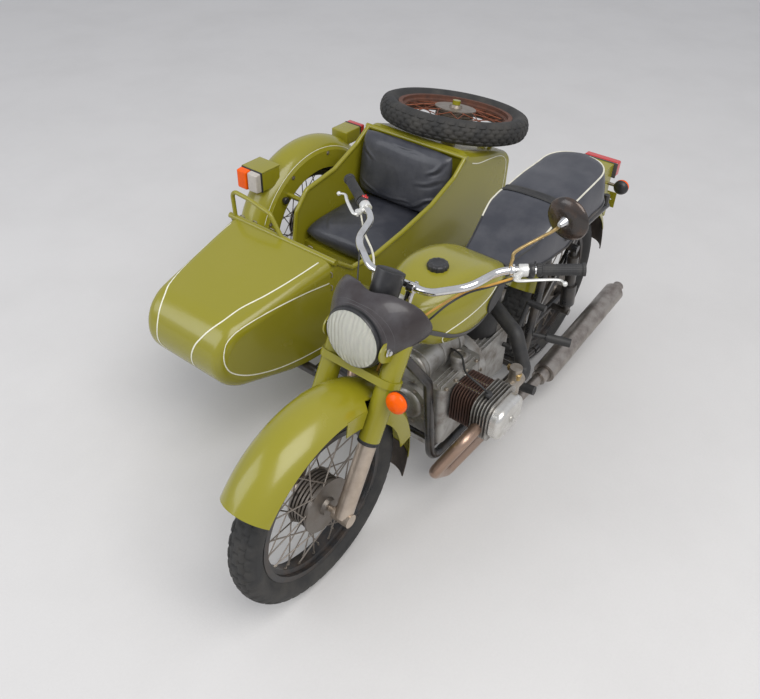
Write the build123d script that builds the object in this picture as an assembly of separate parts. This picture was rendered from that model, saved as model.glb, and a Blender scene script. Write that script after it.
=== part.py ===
from build123d import *
import os
from math import cos, radians, sin, sqrt, tan

# A motorcycle with a flat twin engine and a sidecar on its right side.
# Sizes are in millimetres. X points forward, Y to the rider's left and Z up.
# Every piece is built from the rear axle: x = 0 at the axle, y = 0 in the middle
# plane of the motorcycle and z = 0 on the ground. The last step moves the whole
# machine so that its origin is the middle of its footprint.

# Overall sizes
WHEELBASE = 1450.0
TYRE_RADIUS = 335.0
RAKE = 27.0
FORK_OFFSET = 60.0
TRACK = 1130.0
SIDECAR_LEAD = 240.0

# Clearances
FIT = 0.3
BEARING_FIT = 0.05

# Wheels
TYRE_HALF_WIDTH = 50.0
RIM_SEAT_RADIUS = 241.3
RIM_HALF_WIDTH = 32.0
RIM_WALL = 3.0
RIM_FLANGE = 15.0
SPOKES_PER_SIDE = 20
SPOKE_RADIUS = 2.2
SPOKE_LEAN = 34.0
HUB_RADIUS = 92.0
HUB_HALF_WIDTH = 36.0
AXLE_RADIUS = 10.0

# Fork and steering, measured up the steering axis from the front axle's foot
LEG_SPREAD = 98.0
LEG_RADIUS = 27.0
COVER_RADIUS = 32.0
COVER_BOTTOM = 258.0
COVER_TOP = 615.0
LOWER_YOKE = 425.0
UPPER_YOKE = 622.0
YOKE_THICKNESS = 22.0
HEAD_TUBE_RADIUS = 28.0
LAMP_RADIUS = 85.0
LAMP_HEIGHT = 531.0
LAMP_FORWARD = 150.0
LAMP_TILT = 3.0
BAR_RADIUS = 11.0

# Front mudguard
GUARD_RADIUS = 395.0
GUARD_EDGE_RADIUS = 345.0
GUARD_SKIRT_RADIUS = 296.0
GUARD_HALF_WIDTH = 88.0
SHEET = 3.0

# Engine
CYLINDER_X = {1: 880.0, -1: 850.0}
CYLINDER_Z = 430.0
CRANKCASE_HALF_WIDTH = 125.0
BARREL_LENGTH = 88.0
BARREL_FINS = 9
FIN_THICKNESS = 2.6
HEAD_LENGTH = 66.0
HEAD_FINS = 6
COVER_DEPTH = 38.0

TUBE_RADIUS = 8.0
HEADER_REACH = {1: 212.0, -1: 190.0}

# Main frame
FRAME_TUBE = 16.0
CRADLE_SPREAD = 112.0
CRADLE_Z = 205.0
SPINE_RADIUS = 20.0
SPINE_POINTS = ((1118, 0, 822), (1000, 0, 768), (600, 0, 690))
RAIL_RADIUS = 13.0
SWING_PIVOT_X = 372.0
SWING_PIVOT_Z = 330.0
SWING_ARM_Y = 76.0
BEVEL_RADIUS = 72.0
BEVEL_NECK_X = 152.0
BEVEL_NECK_RADIUS = 24.0
STAND_PIVOT = Vector(330, 0, 172)
STAND_PIN_RADIUS = 6.0

# Tank and saddle
TANK_FRONT = 1045.0
TANK_REAR = 600.0
TANK_TOP = 868.0
TANK_BOTTOM = 664.0
TANK_HALF_WIDTH = 150.0
SADDLE_TOP = 848.0
PILLION_TOP = 872.0
SADDLE_BASE = 700.0
RAIL_Z = SADDLE_BASE - RAIL_RADIUS - FIT

# Rear end
REAR_GUARD_RADIUS = 412.0
REAR_GUARD_EDGE_RADIUS = 350.0
REAR_GUARD_HALF_WIDTH = 78.0
PILLION_BASE = TYRE_RADIUS + REAR_GUARD_RADIUS + 5
LAMP_CARRIER_REAR = -300.0
LAMP_CARRIER_TOP = 798.0
PLATE_BOLT_SPACING = 100.0
PLATE_BOLT_RADIUS = 3.25
PLATE_BOLT_CENTRE = Vector(-398, 0, 600)

# Sidecar
SIDECAR_LEFT = -440.0
SIDECAR_RIGHT = -948.0
SIDECAR_REAR = -370.0
SIDECAR_FLOOR = 318.0
COAMING_X = 850.0
COAMING_Z = 690.0
NOSE_TIP = 1352.0
NOSE_Z = 487.0
NOSE_RADIUS = 137.0
DECK_SLOPE = 10.3
DECK_BEND_X = 400.0
KEEL_RISE = 15.0
NOSE_TAPER = 68.0
BODY_WALL = 8.0
BODY_EDGE_RADIUS = 42.0
BACK_TOP_X = 0.0
BACK_TOP_Z = 800.0
TAIL_TOP_Z = 675.0
BULKHEAD_WALL = 10.0
SEAT_FRONT_X = 470.0
SEAT_TOP_Z = 520.0
SEAT_DEPTH = 110.0
RIM_END_X = 22.0
BEAD_RADIUS = 10.0
LID_MARGIN = 52.0
LID_FRONT = -75.0
LID_REAR = -345.0
LID_GAP = 5.5
SPARE_X = -275.0
SPARE_Z = 808.0
SPARE_TILT = 10.8
LID_HINGE = Vector(-345, -694, 701)
LID_HINGE_REACH = 160.0
LID_PIN_RADIUS = 4.0
SIDECAR_GUARD_RADIUS = 410.0
SIDECAR_GUARD_EDGE_RADIUS = 358.0
SIDECAR_GUARD_HALF_WIDTH = 80.0
GUARD_RING_RADIUS = 285.0
SIDECAR_FRAME_Z = 285.0

# Worked out from the sizes above
AXLE_Z = TYRE_RADIUS
FRONT_AXLE = Vector(WHEELBASE, 0, AXLE_Z)
REAR_AXLE = Vector(0, 0, AXLE_Z)
SIDECAR_AXLE = Vector(SIDECAR_LEAD, -TRACK, AXLE_Z)
LEAN = radians(RAKE)
STEER_DIRECTION = Vector(-sin(LEAN), 0, cos(LEAN))
STEER_FORWARD = Vector(cos(LEAN), 0, sin(LEAN))
STEER_FOOT = FRONT_AXLE - STEER_FORWARD * FORK_OFFSET
# The fork's own plane: X is forward across the steering axis, Z is up that axis.
FORK = Plane(origin=STEER_FOOT, x_dir=STEER_FORWARD, z_dir=STEER_DIRECTION)
SIDECAR_MIDDLE = (SIDECAR_LEFT + SIDECAR_RIGHT) / 2
BARREL_START = CRANKCASE_HALF_WIDTH + FIT
HEAD_START = BARREL_START + BARREL_LENGTH + FIT
ROCKER_START = HEAD_START + HEAD_LENGTH + FIT
SIDES = (1, -1)


def rod(start, end, radius):
    """A round bar from one point to another."""
    start, end = Vector(*start), Vector(*end)
    way = end - start
    return Solid.make_cylinder(radius, way.length, Plane(origin=start, z_dir=way))


def bent_tube(points, radius, bend):
    """A round tube along straight runs joined by tangent arcs."""
    path = FilletPolyline(*points, radius=bend)
    section = Plane(origin=path @ 0, z_dir=path % 0) * Circle(radius)
    return sweep(section, path=path)


def block(low, high, radius=0):
    """A box between two corners, with its upright edges rounded."""
    low, high = Vector(*low), Vector(*high)
    size, middle = high - low, (high + low) * 0.5
    solid = Pos(*middle) * Box(size.X, size.Y, size.Z)
    return fillet(solid.edges().filter_by(Axis.Z), radius) if radius else solid


def turned(points):
    """A ring round the Y axis from a closed outline of (y, radius) points."""
    return revolve(Plane.YZ * make_face(Polyline(*points, close=True)), Axis.Y)


def fork_point(forward, side, up):
    """A point given in the fork's own plane, as a point of the machine."""
    return FORK.from_local_coords(Vector(forward, side, up))


# Wheels
def tyre_at_origin():
    bead, seat = RIM_HALF_WIDTH - RIM_WALL - FIT, RIM_SEAT_RADIUS + FIT
    flank, shoulder = TYRE_RADIUS - 47, TYRE_RADIUS - 13
    shoulder_y, neck = TYRE_HALF_WIDTH - 11, RIM_SEAT_RADIUS + RIM_FLANGE + 1
    inner_bead, liner = bead - 10, TYRE_RADIUS - 12
    outline = [
        Line((-bead, seat), (-bead, neck)),
        ThreePointArc((-bead, neck), (-TYRE_HALF_WIDTH, flank), (-shoulder_y, shoulder)),
        ThreePointArc((-shoulder_y, shoulder), (0, TYRE_RADIUS), (shoulder_y, shoulder)),
        ThreePointArc((shoulder_y, shoulder), (TYRE_HALF_WIDTH, flank), (bead, neck)),
        Line((bead, neck), (bead, seat)),
        Line((bead, seat), (inner_bead, seat)),
        Line((inner_bead, seat), (inner_bead, neck + 4)),
        ThreePointArc((inner_bead, neck + 4), (0, liner), (-inner_bead, neck + 4)),
        Line((-inner_bead, neck + 4), (-inner_bead, seat)),
        Line((-inner_bead, seat), (-bead, seat)),
    ]
    return revolve(Plane.YZ * make_face(outline), Axis.Y)


def rim_at_origin():
    """A rolled steel rim: two flanges, two bead seats and a well between them."""
    edge, lip = RIM_HALF_WIDTH, RIM_SEAT_RADIUS + RIM_FLANGE
    seat, well = RIM_SEAT_RADIUS, RIM_SEAT_RADIUS - 12.3
    right = [(12, well), (17, seat), (edge - RIM_WALL, seat), (edge - RIM_WALL, lip),
             (edge, lip), (edge, seat - RIM_WALL), (18.5, seat - RIM_WALL),
             (13.5, well - RIM_WALL)]
    left = [(-y, r) for y, r in reversed(right)]
    return turned(right + left)


def hub_at_origin():
    """A drum hub with cooling ribs, and its crossed spokes."""
    flange, waist, bore = HUB_RADIUS, HUB_RADIUS - 14, AXLE_RADIUS + BEARING_FIT
    half = HUB_HALF_WIDTH
    ribs = [(-half, flange), (-half + 6, flange)]
    for y in range(-24, 25, 12):
        ribs += [(y - 3, waist), (y - 3, waist + 8), (y + 3, waist + 8), (y + 3, waist)]
    ribs += [(half - 6, flange), (half, flange)]
    ribs = [ribs[0], ribs[1], (-half + 6, waist)] + ribs[2:-2] + [(half - 6, waist)] + ribs[-2:]
    boss = [(half, 30), (half + 12, 26), (half + 12, bore), (-half - 12, bore),
            (-half - 12, 26), (-half, 30)]
    hub = turned(ribs + boss)
    spokes = []
    well = RIM_SEAT_RADIUS - 12.3 - RIM_WALL - FIT - 0.8
    for side in SIDES:
        for i in range(SPOKES_PER_SIDE):
            lean = SPOKE_LEAN if i % 2 else -SPOKE_LEAN
            rim_angle = radians((i + (0.5 if side > 0 else 0)) * 360 / SPOKES_PER_SIDE)
            hub_angle = rim_angle + radians(lean)
            inside = (half - 3) if i % 2 else (half - 3.5)
            start = ((HUB_RADIUS - 5) * cos(hub_angle), side * inside,
                     (HUB_RADIUS - 5) * sin(hub_angle))
            end = (well * cos(rim_angle), side * 6, well * sin(rim_angle))
            spokes.append(rod(start, end, SPOKE_RADIUS))
    return hub + spokes


# Fork, all parts that turn with the handlebar
def fork_yokes():
    """Two plates that clamp the legs, and the stem that turns in the head tube."""
    parts = []
    for up in (LOWER_YOKE, UPPER_YOKE):
        plate = make_hull(
            (Pos(0, 0) * Circle(34)).edges()
            + (Pos(FORK_OFFSET, LEG_SPREAD) * Circle(LEG_RADIUS + 11)).edges()
            + (Pos(FORK_OFFSET, -LEG_SPREAD) * Circle(LEG_RADIUS + 11)).edges()
        )
        parts.append(extrude(plate, YOKE_THICKNESS).moved(Location((0, 0, up))))
    stem = Solid.make_cylinder(
        HEAD_TUBE_RADIUS - 14, UPPER_YOKE - LOWER_YOKE, Plane((0, 0, LOWER_YOKE)))
    nut = Pos(0, 0, UPPER_YOKE + YOKE_THICKNESS + 4) * Cylinder(20, 8)
    yokes = parts[0] + parts[1] + stem + nut
    for side in SIDES:
        bore = Solid.make_cylinder(
            LEG_RADIUS - 6 + FIT, 400, Plane((FORK_OFFSET, side * LEG_SPREAD, LOWER_YOKE - 50)))
        yokes -= bore
    return FORK * yokes


def fork_legs():
    """Stanchions, lower legs and the front axle that joins them."""
    legs = None
    for side in SIDES:
        foot = Plane((FORK_OFFSET, side * LEG_SPREAD, 0))
        stanchion = Solid.make_cylinder(LEG_RADIUS - 6, UPPER_YOKE + YOKE_THICKNESS + 6, foot)
        lower = Solid.make_cylinder(LEG_RADIUS, COVER_BOTTOM + 30, foot)
        ring = Pos(FORK_OFFSET, side * LEG_SPREAD, COVER_BOTTOM - 7) * Cylinder(LEG_RADIUS + 3, 12)
        leg = stanchion + lower + ring
        legs = leg if legs is None else legs + leg
    lug = rod((FORK_OFFSET, -LEG_SPREAD - 30, 0), (FORK_OFFSET, -LEG_SPREAD + 30, 0), 22)
    lug += rod((FORK_OFFSET, LEG_SPREAD - 30, 0), (FORK_OFFSET, LEG_SPREAD + 30, 0), 22)
    axle = rod((FORK_OFFSET, -LEG_SPREAD, 0), (FORK_OFFSET, LEG_SPREAD, 0), AXLE_RADIUS)
    return FORK * (legs + lug + axle)


def fork_covers():
    """Pressed steel covers over the upper legs, each with a headlamp ear."""
    covers = []
    for side in SIDES:
        outer = Pos(FORK_OFFSET, side * LEG_SPREAD, 0) * Cylinder(
            COVER_RADIUS, COVER_TOP - COVER_BOTTOM, align=(Align.CENTER, Align.CENTER, Align.MIN))
        outer = Pos(0, 0, COVER_BOTTOM) * outer
        ear_y = side * (LEG_SPREAD - 2)
        ear = Pos(FORK_OFFSET + 40, ear_y, LAMP_HEIGHT) * Rot(90, 0, 0) * extrude(
            SlotOverall(110, 64), 2.5, both=True)
        cover = outer + ear
        cover -= Pos(FORK_OFFSET, side * LEG_SPREAD, COVER_BOTTOM - 5) * Cylinder(
            COVER_RADIUS - SHEET, 500, align=(Align.CENTER, Align.CENTER, Align.MIN))
        yoke_room = Pos(0, 0, LOWER_YOKE + YOKE_THICKNESS / 2) * Box(
            400, 400, YOKE_THICKNESS + 2 * FIT)
        covers += (cover - yoke_room).solids()
    return [FORK * cover for cover in covers]


def headlamp_plane():
    """The middle of the lens, with Z pointing out of the lamp."""
    middle = fork_point(LAMP_FORWARD, 0, LAMP_HEIGHT)
    tilt = radians(LAMP_TILT)
    return Plane(origin=middle, x_dir=(0, 1, 0), z_dir=(cos(tilt), 0, sin(tilt)))


def headlamp_shell():
    """The lamp's bowl and rim, and the bolt that holds it between the ears."""
    bowl, neck = LAMP_RADIUS - 2, 52
    below = (Align.CENTER, Align.CENTER, Align.MAX)
    shell = Cylinder(LAMP_RADIUS + 4, 12, align=below) + Cylinder(bowl, 42, align=below)
    shell += Pos(0, 0, -42) * Cone(neck, bowl, 46, align=below)
    shell += Pos(0, 0, -88) * Cone(neck - 18, neck, 20, align=below)
    reach = LEG_SPREAD - 4.5 - FIT
    bolt = rod(fork_point(118, -reach, LAMP_HEIGHT), fork_point(118, reach, LAMP_HEIGHT), 9)
    return headlamp_plane() * shell + bolt


def headlamp_lens():
    """A domed glass that sits in the lamp's rim."""
    crown = 17.0
    ball = (LAMP_RADIUS ** 2 + crown ** 2) / (2 * crown)
    dome = Pos(0, 0, FIT + 5 + crown - ball) * Sphere(ball)
    disc = Cylinder(LAMP_RADIUS, 40, align=(Align.CENTER, Align.CENTER, Align.MIN))
    return headlamp_plane() * ((Pos(0, 0, FIT) * disc) & dome)


BAR_POINTS = (  # forward, side and height of one half of the bar
    (1090, 100, 932), (1035, 190, 962), (925, 222, 974), (806, 408, 996))
GRIP_LENGTH = 125.0


def handlebar():
    right = [(x, -y, z) for x, y, z in reversed(BAR_POINTS)]
    bar = bent_tube(right + list(BAR_POINTS), BAR_RADIUS, 38)
    low, high = UPPER_YOKE + YOKE_THICKNESS + FIT, 708
    clamps = [FORK * block((-8, s * 47 - 12, low), (26, s * 47 + 12, high)) for s in SIDES]
    return bar + clamps


def along_bar_end(side, back):
    """A point on the bar's straight end, measured inwards from its tip."""
    tip, bend = Vector(*BAR_POINTS[-1]), Vector(*BAR_POINTS[-2])
    point = tip + (bend - tip).normalized() * back
    return Vector(point.X, side * point.Y, point.Z)


def handlebar_grips():
    grips = []
    for side in SIDES:
        start, end = along_bar_end(side, -4), along_bar_end(side, GRIP_LENGTH)
        grip = rod(start, end, 17) - rod(along_bar_end(side, -FIT), end, BAR_RADIUS + FIT)
        grips += grip.solids()
    return grips


def bar_room(side):
    """The straight end of the bar with a fit round it."""
    return rod(along_bar_end(side, 0), along_bar_end(side, 203), BAR_RADIUS + FIT)


def control_levers():
    """A clamp on the bar, and the lever that it carries."""
    levers = []
    for side in SIDES:
        inner, outer = along_bar_end(side, GRIP_LENGTH + 48), along_bar_end(side, GRIP_LENGTH + 22)
        clamp = rod(inner, outer, 18)
        pivot = (inner + outer) * 0.5 + Vector(34, 0, -6)
        tip = along_bar_end(side, 20) + Vector(62, 0, -14)
        middle = (pivot + tip) * 0.5 + Vector(-4, side * 4, 4)
        arm = rod((inner + outer) * 0.5, pivot, 8)
        lever = rod(pivot, middle, 6) + Pos(*middle) * Sphere(6) + rod(middle, tip, 6)
        lever += Pos(*tip) * Sphere(8) + Pos(*pivot) * Cylinder(11, 16)
        levers += (clamp + arm + lever - bar_room(side)).solids()
    return levers


def rear_view_mirror():
    """A round mirror on a bent stalk from the left end of the bar."""
    foot = along_bar_end(1, GRIP_LENGTH + 72)
    head = Vector(815, 332, 1120)
    clamp = rod(foot, along_bar_end(1, GRIP_LENGTH + 58), 18)
    stalk = bent_tube([foot + Vector(0, 0, 12), foot + Vector(-8, 6, 60), head], 5, 24)
    dish = Plane(origin=head, z_dir=(-1, 0.12, 0.1)) * Cylinder(
        62, 14, align=(Align.CENTER, Align.CENTER, Align.MIN))
    return clamp + stalk + dish - bar_room(1)


def instrument_pod():
    """A round speedometer case that stands on the upper yoke."""
    base = UPPER_YOKE + YOKE_THICKNESS + FIT
    pod = Pos(FORK_OFFSET + 4, 0, base) * Cylinder(
        42, 78, align=(Align.CENTER, Align.CENTER, Align.MIN))
    pod -= Pos(FORK_OFFSET + 4, 0, base + 78) * Cylinder(37, 6)
    return FORK * pod


def arc_shell(half_width, crown, edge, sheet, front_angle, rear_angle, middle):
    """A curved mudguard round a wheel, from one clock angle to another.
    Angles are measured up from straight ahead of the axle."""
    inside = half_width - sheet
    outline = [
        ThreePointArc((-half_width, edge), (0, crown), (half_width, edge)),
        Line((half_width, edge), (inside, edge)),
        ThreePointArc((inside, edge), (0, crown - sheet), (-inside, edge)),
        Line((-inside, edge), (-half_width, edge)),
    ]
    profile = Plane.YZ * make_face(outline)
    profile = Rot(0, 90 - rear_angle, 0) * profile
    shell = revolve(profile, Axis.Y, rear_angle - front_angle)
    return Pos(*middle) * shell


def front_mudguard():
    """A deep mudguard with a skirt behind each fork leg, cut back round the legs."""
    guard = arc_shell(GUARD_HALF_WIDTH, GUARD_RADIUS, GUARD_EDGE_RADIUS, SHEET,
                      38, 188, FRONT_AXLE)
    inner, outer = GUARD_HALF_WIDTH - SHEET, GUARD_HALF_WIDTH
    low, high = GUARD_SKIRT_RADIUS, GUARD_EDGE_RADIUS + 4
    for side in SIDES:
        ring = [(side * inner, low), (side * outer, low), (side * outer, high), (side * inner, high)]
        skirt = Rot(0, 90 - 172, 0) * (Plane.YZ * make_face(Polyline(*ring, close=True)))
        guard += Pos(*FRONT_AXLE) * revolve(skirt, Axis.Y, 172 - 96)
    for side in SIDES:
        slot = Pos(FORK_OFFSET, side * (LEG_SPREAD - COVER_RADIUS - FIT + 50), 300) * Box(
            2 * COVER_RADIUS + 14, 100, 600)
        guard -= FORK * slot
    return guard


def front_mud_flap():
    """A rubber flap that carries on from the rear edge of the front mudguard."""
    return arc_shell(GUARD_HALF_WIDTH - 6, GUARD_RADIUS - 1, GUARD_EDGE_RADIUS + 6, 5,
                     188.05, 202, FRONT_AXLE)


def indicator(middle, direction, radius=33, depth=46):
    """A round lamp: a cup with a domed lens."""
    lamp = Plane(origin=middle, z_dir=direction) * Cylinder(radius, depth)
    return fillet(lamp.edges().group_by(SortBy.LENGTH)[-1], 8)


def front_indicator():
    middle = fork_point(FORK_OFFSET + 42, LEG_SPREAD + 66, 412)
    lamp = indicator(middle, (1, 0, 0.1))
    stalk = rod(middle, fork_point(FORK_OFFSET + 8, LEG_SPREAD + COVER_RADIUS - 6, 412), 7)
    cover = rod(fork_point(FORK_OFFSET, LEG_SPREAD, 380), fork_point(FORK_OFFSET, LEG_SPREAD, 440),
                COVER_RADIUS + FIT)
    return (lamp + stalk - cover).solids().sort_by(SortBy.VOLUME)[-1]


# Frame, engine and everything that is fixed to them
def cradle_points(side):
    """One side of the double cradle: down from the head, under the engine and up."""
    return [
        (1148, side * 30, 752), (1030, side * CRADLE_SPREAD * 0.8, 560),
        (1008, side * CRADLE_SPREAD, CRADLE_Z), (400, side * CRADLE_SPREAD, CRADLE_Z),
        (SWING_PIVOT_X, side * CRADLE_SPREAD, 330), (330, side * CRADLE_SPREAD, RAIL_Z)]


def stem_room():
    """The bearing space in the head tube, with a fit round the stem."""
    return FORK * Solid.make_cylinder(
        HEAD_TUBE_RADIUS - 14 + BEARING_FIT, UPPER_YOKE, Plane((0, 0, 0)))


def main_frame():
    """A double cradle frame: head tube, spine, cradle, saddle rails and struts."""
    frame = FORK * Solid.make_cylinder(
        HEAD_TUBE_RADIUS, UPPER_YOKE - LOWER_YOKE - YOKE_THICKNESS - 4,
        Plane((0, 0, LOWER_YOKE + YOKE_THICKNESS + 2)))
    tubes = [bent_tube(SPINE_POINTS, SPINE_RADIUS, 120)]
    for side in SIDES:
        y = side * CRADLE_SPREAD
        tubes.append(bent_tube(cradle_points(side), FRAME_TUBE, 60))
        tubes.append(bent_tube(
            [(650, 0, 700), (520, side * 50, RAIL_Z), (430, y, RAIL_Z), (-170, y, RAIL_Z)],
            RAIL_RADIUS, 30))
        tubes.append(rod((SWING_PIVOT_X - 8, y, 400), (70, y, RAIL_Z - 4), RAIL_RADIUS))
    crown = REAR_GUARD_RADIUS + 10 + FIT
    rear_z = AXLE_Z + sqrt(crown ** 2 - 150 ** 2)
    for x, z in ((1008, 300), (400, CRADLE_Z), (-150, rear_z)):
        tubes.append(rod((x, -CRADLE_SPREAD, z), (x, CRADLE_SPREAD, z), 10))
    for side in SIDES:
        tubes.append(rod((-150, side * CRADLE_SPREAD, RAIL_Z), (-150, side * CRADLE_SPREAD, rear_z + 9), 11))
    x, z = STAND_PIVOT.X, STAND_PIVOT.Z
    for side in SIDES:
        tubes.append(rod((400, side * CRADLE_SPREAD, CRADLE_Z), (x, side * CRADLE_SPREAD, z), 9))
        tubes.append(rod((x, side * 99, z), (x, side * 120, z), 14))
        tubes.append(rod((x, side * 80, z), (x, side * 100, z), STAND_PIN_RADIUS))
    for tube in tubes:
        frame = frame + tube
    return frame - stem_room()


def swinging_arm():
    """A fork that pivots behind the gearbox; its right arm ends at the bevel box."""
    reach = CRADLE_SPREAD - FRAME_TUBE - FIT
    arms = rod((SWING_PIVOT_X, -reach, SWING_PIVOT_Z), (SWING_PIVOT_X, reach, SWING_PIVOT_Z), 20)
    arms += rod((SWING_PIVOT_X, SWING_ARM_Y, SWING_PIVOT_Z), (0, SWING_ARM_Y, AXLE_Z), 15)
    arms += rod((SWING_PIVOT_X, -SWING_ARM_Y, SWING_PIVOT_Z),
                (BEVEL_NECK_X + FIT, -SWING_ARM_Y, AXLE_Z - 2), 15)
    arms += rod((0, HUB_HALF_WIDTH + 12 + FIT, AXLE_Z), (0, 100, AXLE_Z), 26)
    return arms + rod((0, -HUB_HALF_WIDTH - 12, AXLE_Z), (0, 92, AXLE_Z), AXLE_RADIUS)


SHOCK_Y = 152.0
SHOCK_FOOT = (133.0, 352.0)
SHOCK_HEAD = (195.0, 674.0)


def rear_shock_absorbers():
    shocks = []
    for side in SIDES:
        foot = Vector(SHOCK_FOOT[0], side * SHOCK_Y, SHOCK_FOOT[1])
        head = Vector(SHOCK_HEAD[0], side * SHOCK_Y, SHOCK_HEAD[1])
        way = (head - foot).normalized()
        shock = rod(foot, head, 12) + rod(foot + way * 50, foot + way * 150, 28)
        shock += rod(foot + way * 100, foot + way * 292, 33 - 12.5)
        arm_radius = 15 if side > 0 else BEVEL_NECK_RADIUS
        shock += rod((foot.X, side * (SWING_ARM_Y + arm_radius + FIT), foot.Z),
                     (foot.X, side * (SHOCK_Y + 14), foot.Z), 13)
        shock += rod((head.X, side * (CRADLE_SPREAD + RAIL_RADIUS + FIT), head.Z),
                     (head.X, side * (SHOCK_Y + 14), head.Z), 14)
        shocks.append(shock)
    return shocks


def crankcase():
    case = block((745, -CRANKCASE_HALF_WIDTH, 262), (985, CRANKCASE_HALF_WIDTH, 500), 34)
    case += rod((980, 0, 400), (1003, 0, 400), 80)
    case += rod((770, 0, 545), (990, 0, 545), 58)
    case += block((800, -40, 480), (960, 40, 560))
    return case + block((765, -92, 212), (965, 92, 270), 20)


def gearbox():
    box = block((480, -88, 268), (745 - FIT, 88, 470), 30)
    return box + rod((700, 0, 400), (745 - FIT, 0, 400), 118)


def cylinder_barrels():
    barrels = []
    for side in SIDES:
        x = CYLINDER_X[side]
        barrel = rod((x, side * BARREL_START, CYLINDER_Z),
                     (x, side * (BARREL_START + BARREL_LENGTH), CYLINDER_Z), 50)
        pitch = BARREL_LENGTH / BARREL_FINS
        fins = []
        for i in range(BARREL_FINS):
            y = side * (BARREL_START + 8 + i * pitch)
            fin = extrude(RectangleRounded(146, 146, 34), FIN_THICKNESS / 2, both=True)
            fins.append(Pos(x, y, CYLINDER_Z) * Rot(90, 0, 0) * fin)
        barrel = barrel + fins
        for tube in tube_lines(side):
            barrel -= rod(*tube, TUBE_RADIUS + FIT)
        barrels.append(barrel)
    return barrels


def tube_lines(side):
    """The two ends of each pushrod tube on one side."""
    z = CYLINDER_Z + 60
    return [((CYLINDER_X[side] + shift, side * (CRANKCASE_HALF_WIDTH + FIT), z),
             (CYLINDER_X[side] + shift, side * (HEAD_START - FIT), z)) for shift in (-24, 24)]


def cylinder_heads():
    heads = []
    for side in SIDES:
        x = CYLINDER_X[side]
        core = extrude(RectangleRounded(132, 112, 26), HEAD_LENGTH / 2, both=True)
        middle = HEAD_START + HEAD_LENGTH / 2
        head = Pos(x, side * middle, CYLINDER_Z) * Rot(90, 0, 0) * core
        fins = []
        for i in range(HEAD_FINS):
            y = side * (HEAD_START + 5 + i * (HEAD_LENGTH - 10) / (HEAD_FINS - 1))
            fin = extrude(RectangleRounded(176, 152, 40), 1.6, both=True)
            fins.append(Pos(x, y, CYLINDER_Z) * Rot(90, 0, 0) * fin)
        heads.append(head + fins)
    return heads


def rocker_covers():
    covers = []
    for side in SIDES:
        middle = ROCKER_START + COVER_DEPTH / 2
        cover = Pos(CYLINDER_X[side], side * middle, CYLINDER_Z) * Rot(90, 0, 0) * extrude(
            RectangleRounded(160, 118, 42), COVER_DEPTH / 2, both=True)
        outer = cover.faces().sort_by(Axis.Y)[-1 if side > 0 else 0]
        covers.append(fillet(outer.edges(), 18))
    return covers


def pushrod_tubes():
    return [rod(*line, TUBE_RADIUS) for side in SIDES for line in tube_lines(side)]


def carburettors():
    parts = []
    for side in SIDES:
        x = CYLINDER_X[side] - 88 - FIT
        y = side * (HEAD_START + 36)
        carb = rod((x, y, CYLINDER_Z + 30), (x - 74, y, CYLINDER_Z + 30), 24)
        carb += rod((x - 38, y, CYLINDER_Z - 32), (x - 38, y, CYLINDER_Z + 96), 21)
        parts.append(carb)
    return parts


def air_cleaner():
    """A round filter on the gearbox, with a hose to each carburettor."""
    cleaner = rod((590, 0, 470 + FIT), (590, 0, 640), 74)
    for side in SIDES:
        x, y = CYLINDER_X[side] - 162 - 2 * FIT, side * (HEAD_START + 36)
        z = CYLINDER_Z + 30
        cleaner += bent_tube(
            [(x, y, z), (x - 36, y, z), (x - 52, side * 190, z + 120), (590, side * 40, 606)],
            25, 26)
    return cleaner


def exhaust_system():
    """A header pipe from each head, and the silencer that it runs into."""
    pipes = []
    for side in SIDES:
        x, reach = CYLINDER_X[side], HEADER_REACH[side]
        y, z = side * (HEAD_START + 30), CYLINDER_Z - 20
        header = bent_tube(
            [(x + 88 + FIT, y, z), (x + reach - 46, y, z), (x + reach, side * 178, 262),
             (x + 90, side * 158, 152), (330, side * 176, 150)], 20, 45)
        silencer = rod((340, side * 176, 150), (300, side * 180, 154), 30)
        silencer += rod((300, side * 180, 154), (-330, side * 186, 212), 44)
        silencer += rod((-330, side * 186, 212), (-380, side * 186, 217), 24)
        pipes.append(header + silencer)
    return pipes


def final_drive():
    """The open end of the drive shaft, and the bevel box on the right of the wheel."""
    shaft = rod((480 - FIT, -60, AXLE_Z), (SWING_PIVOT_X + 20 + FIT, -60, AXLE_Z), 14)
    inner = HUB_HALF_WIDTH + 12 + FIT
    box = rod((0, -inner, AXLE_Z), (0, -104, AXLE_Z), BEVEL_RADIUS)
    box += rod((0, -SWING_ARM_Y, AXLE_Z), (BEVEL_NECK_X - FIT, -SWING_ARM_Y, AXLE_Z),
               BEVEL_NECK_RADIUS)
    tunnel = rod((0, -inner - 30, AXLE_Z), (0, 0, AXLE_Z), AXLE_RADIUS + FIT)
    return [shaft, box - tunnel]


def fuel_tank():
    """A teardrop tank: rounded sections from the head to the saddle."""
    sections = (  # x, half width, bottom, top, corner radius
        (TANK_FRONT, 72, 700, 836, 50),
        (TANK_FRONT - 90, 128, TANK_BOTTOM, TANK_TOP, 76),
        (TANK_FRONT - 235, TANK_HALF_WIDTH, TANK_BOTTOM + 12, TANK_TOP, 78),
        (TANK_REAR, 84, 716, 776, 27),
    )
    faces = []
    for x, half, low, high, corner in sections:
        face = RectangleRounded(2 * half, high - low, corner)
        faces.append(Plane(origin=(x, 0, (low + high) / 2), x_dir=(0, 1, 0), z_dir=(1, 0, 0)) * face)
    return loft(faces) - bent_tube(SPINE_POINTS, SPINE_RADIUS + FIT, 120)


def filler_cap():
    cap = rod((888, 0, TANK_TOP - 12), (888, 0, TANK_TOP + 24), 33)
    return cap - Pos(0, 0, FIT) * fuel_tank()


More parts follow.
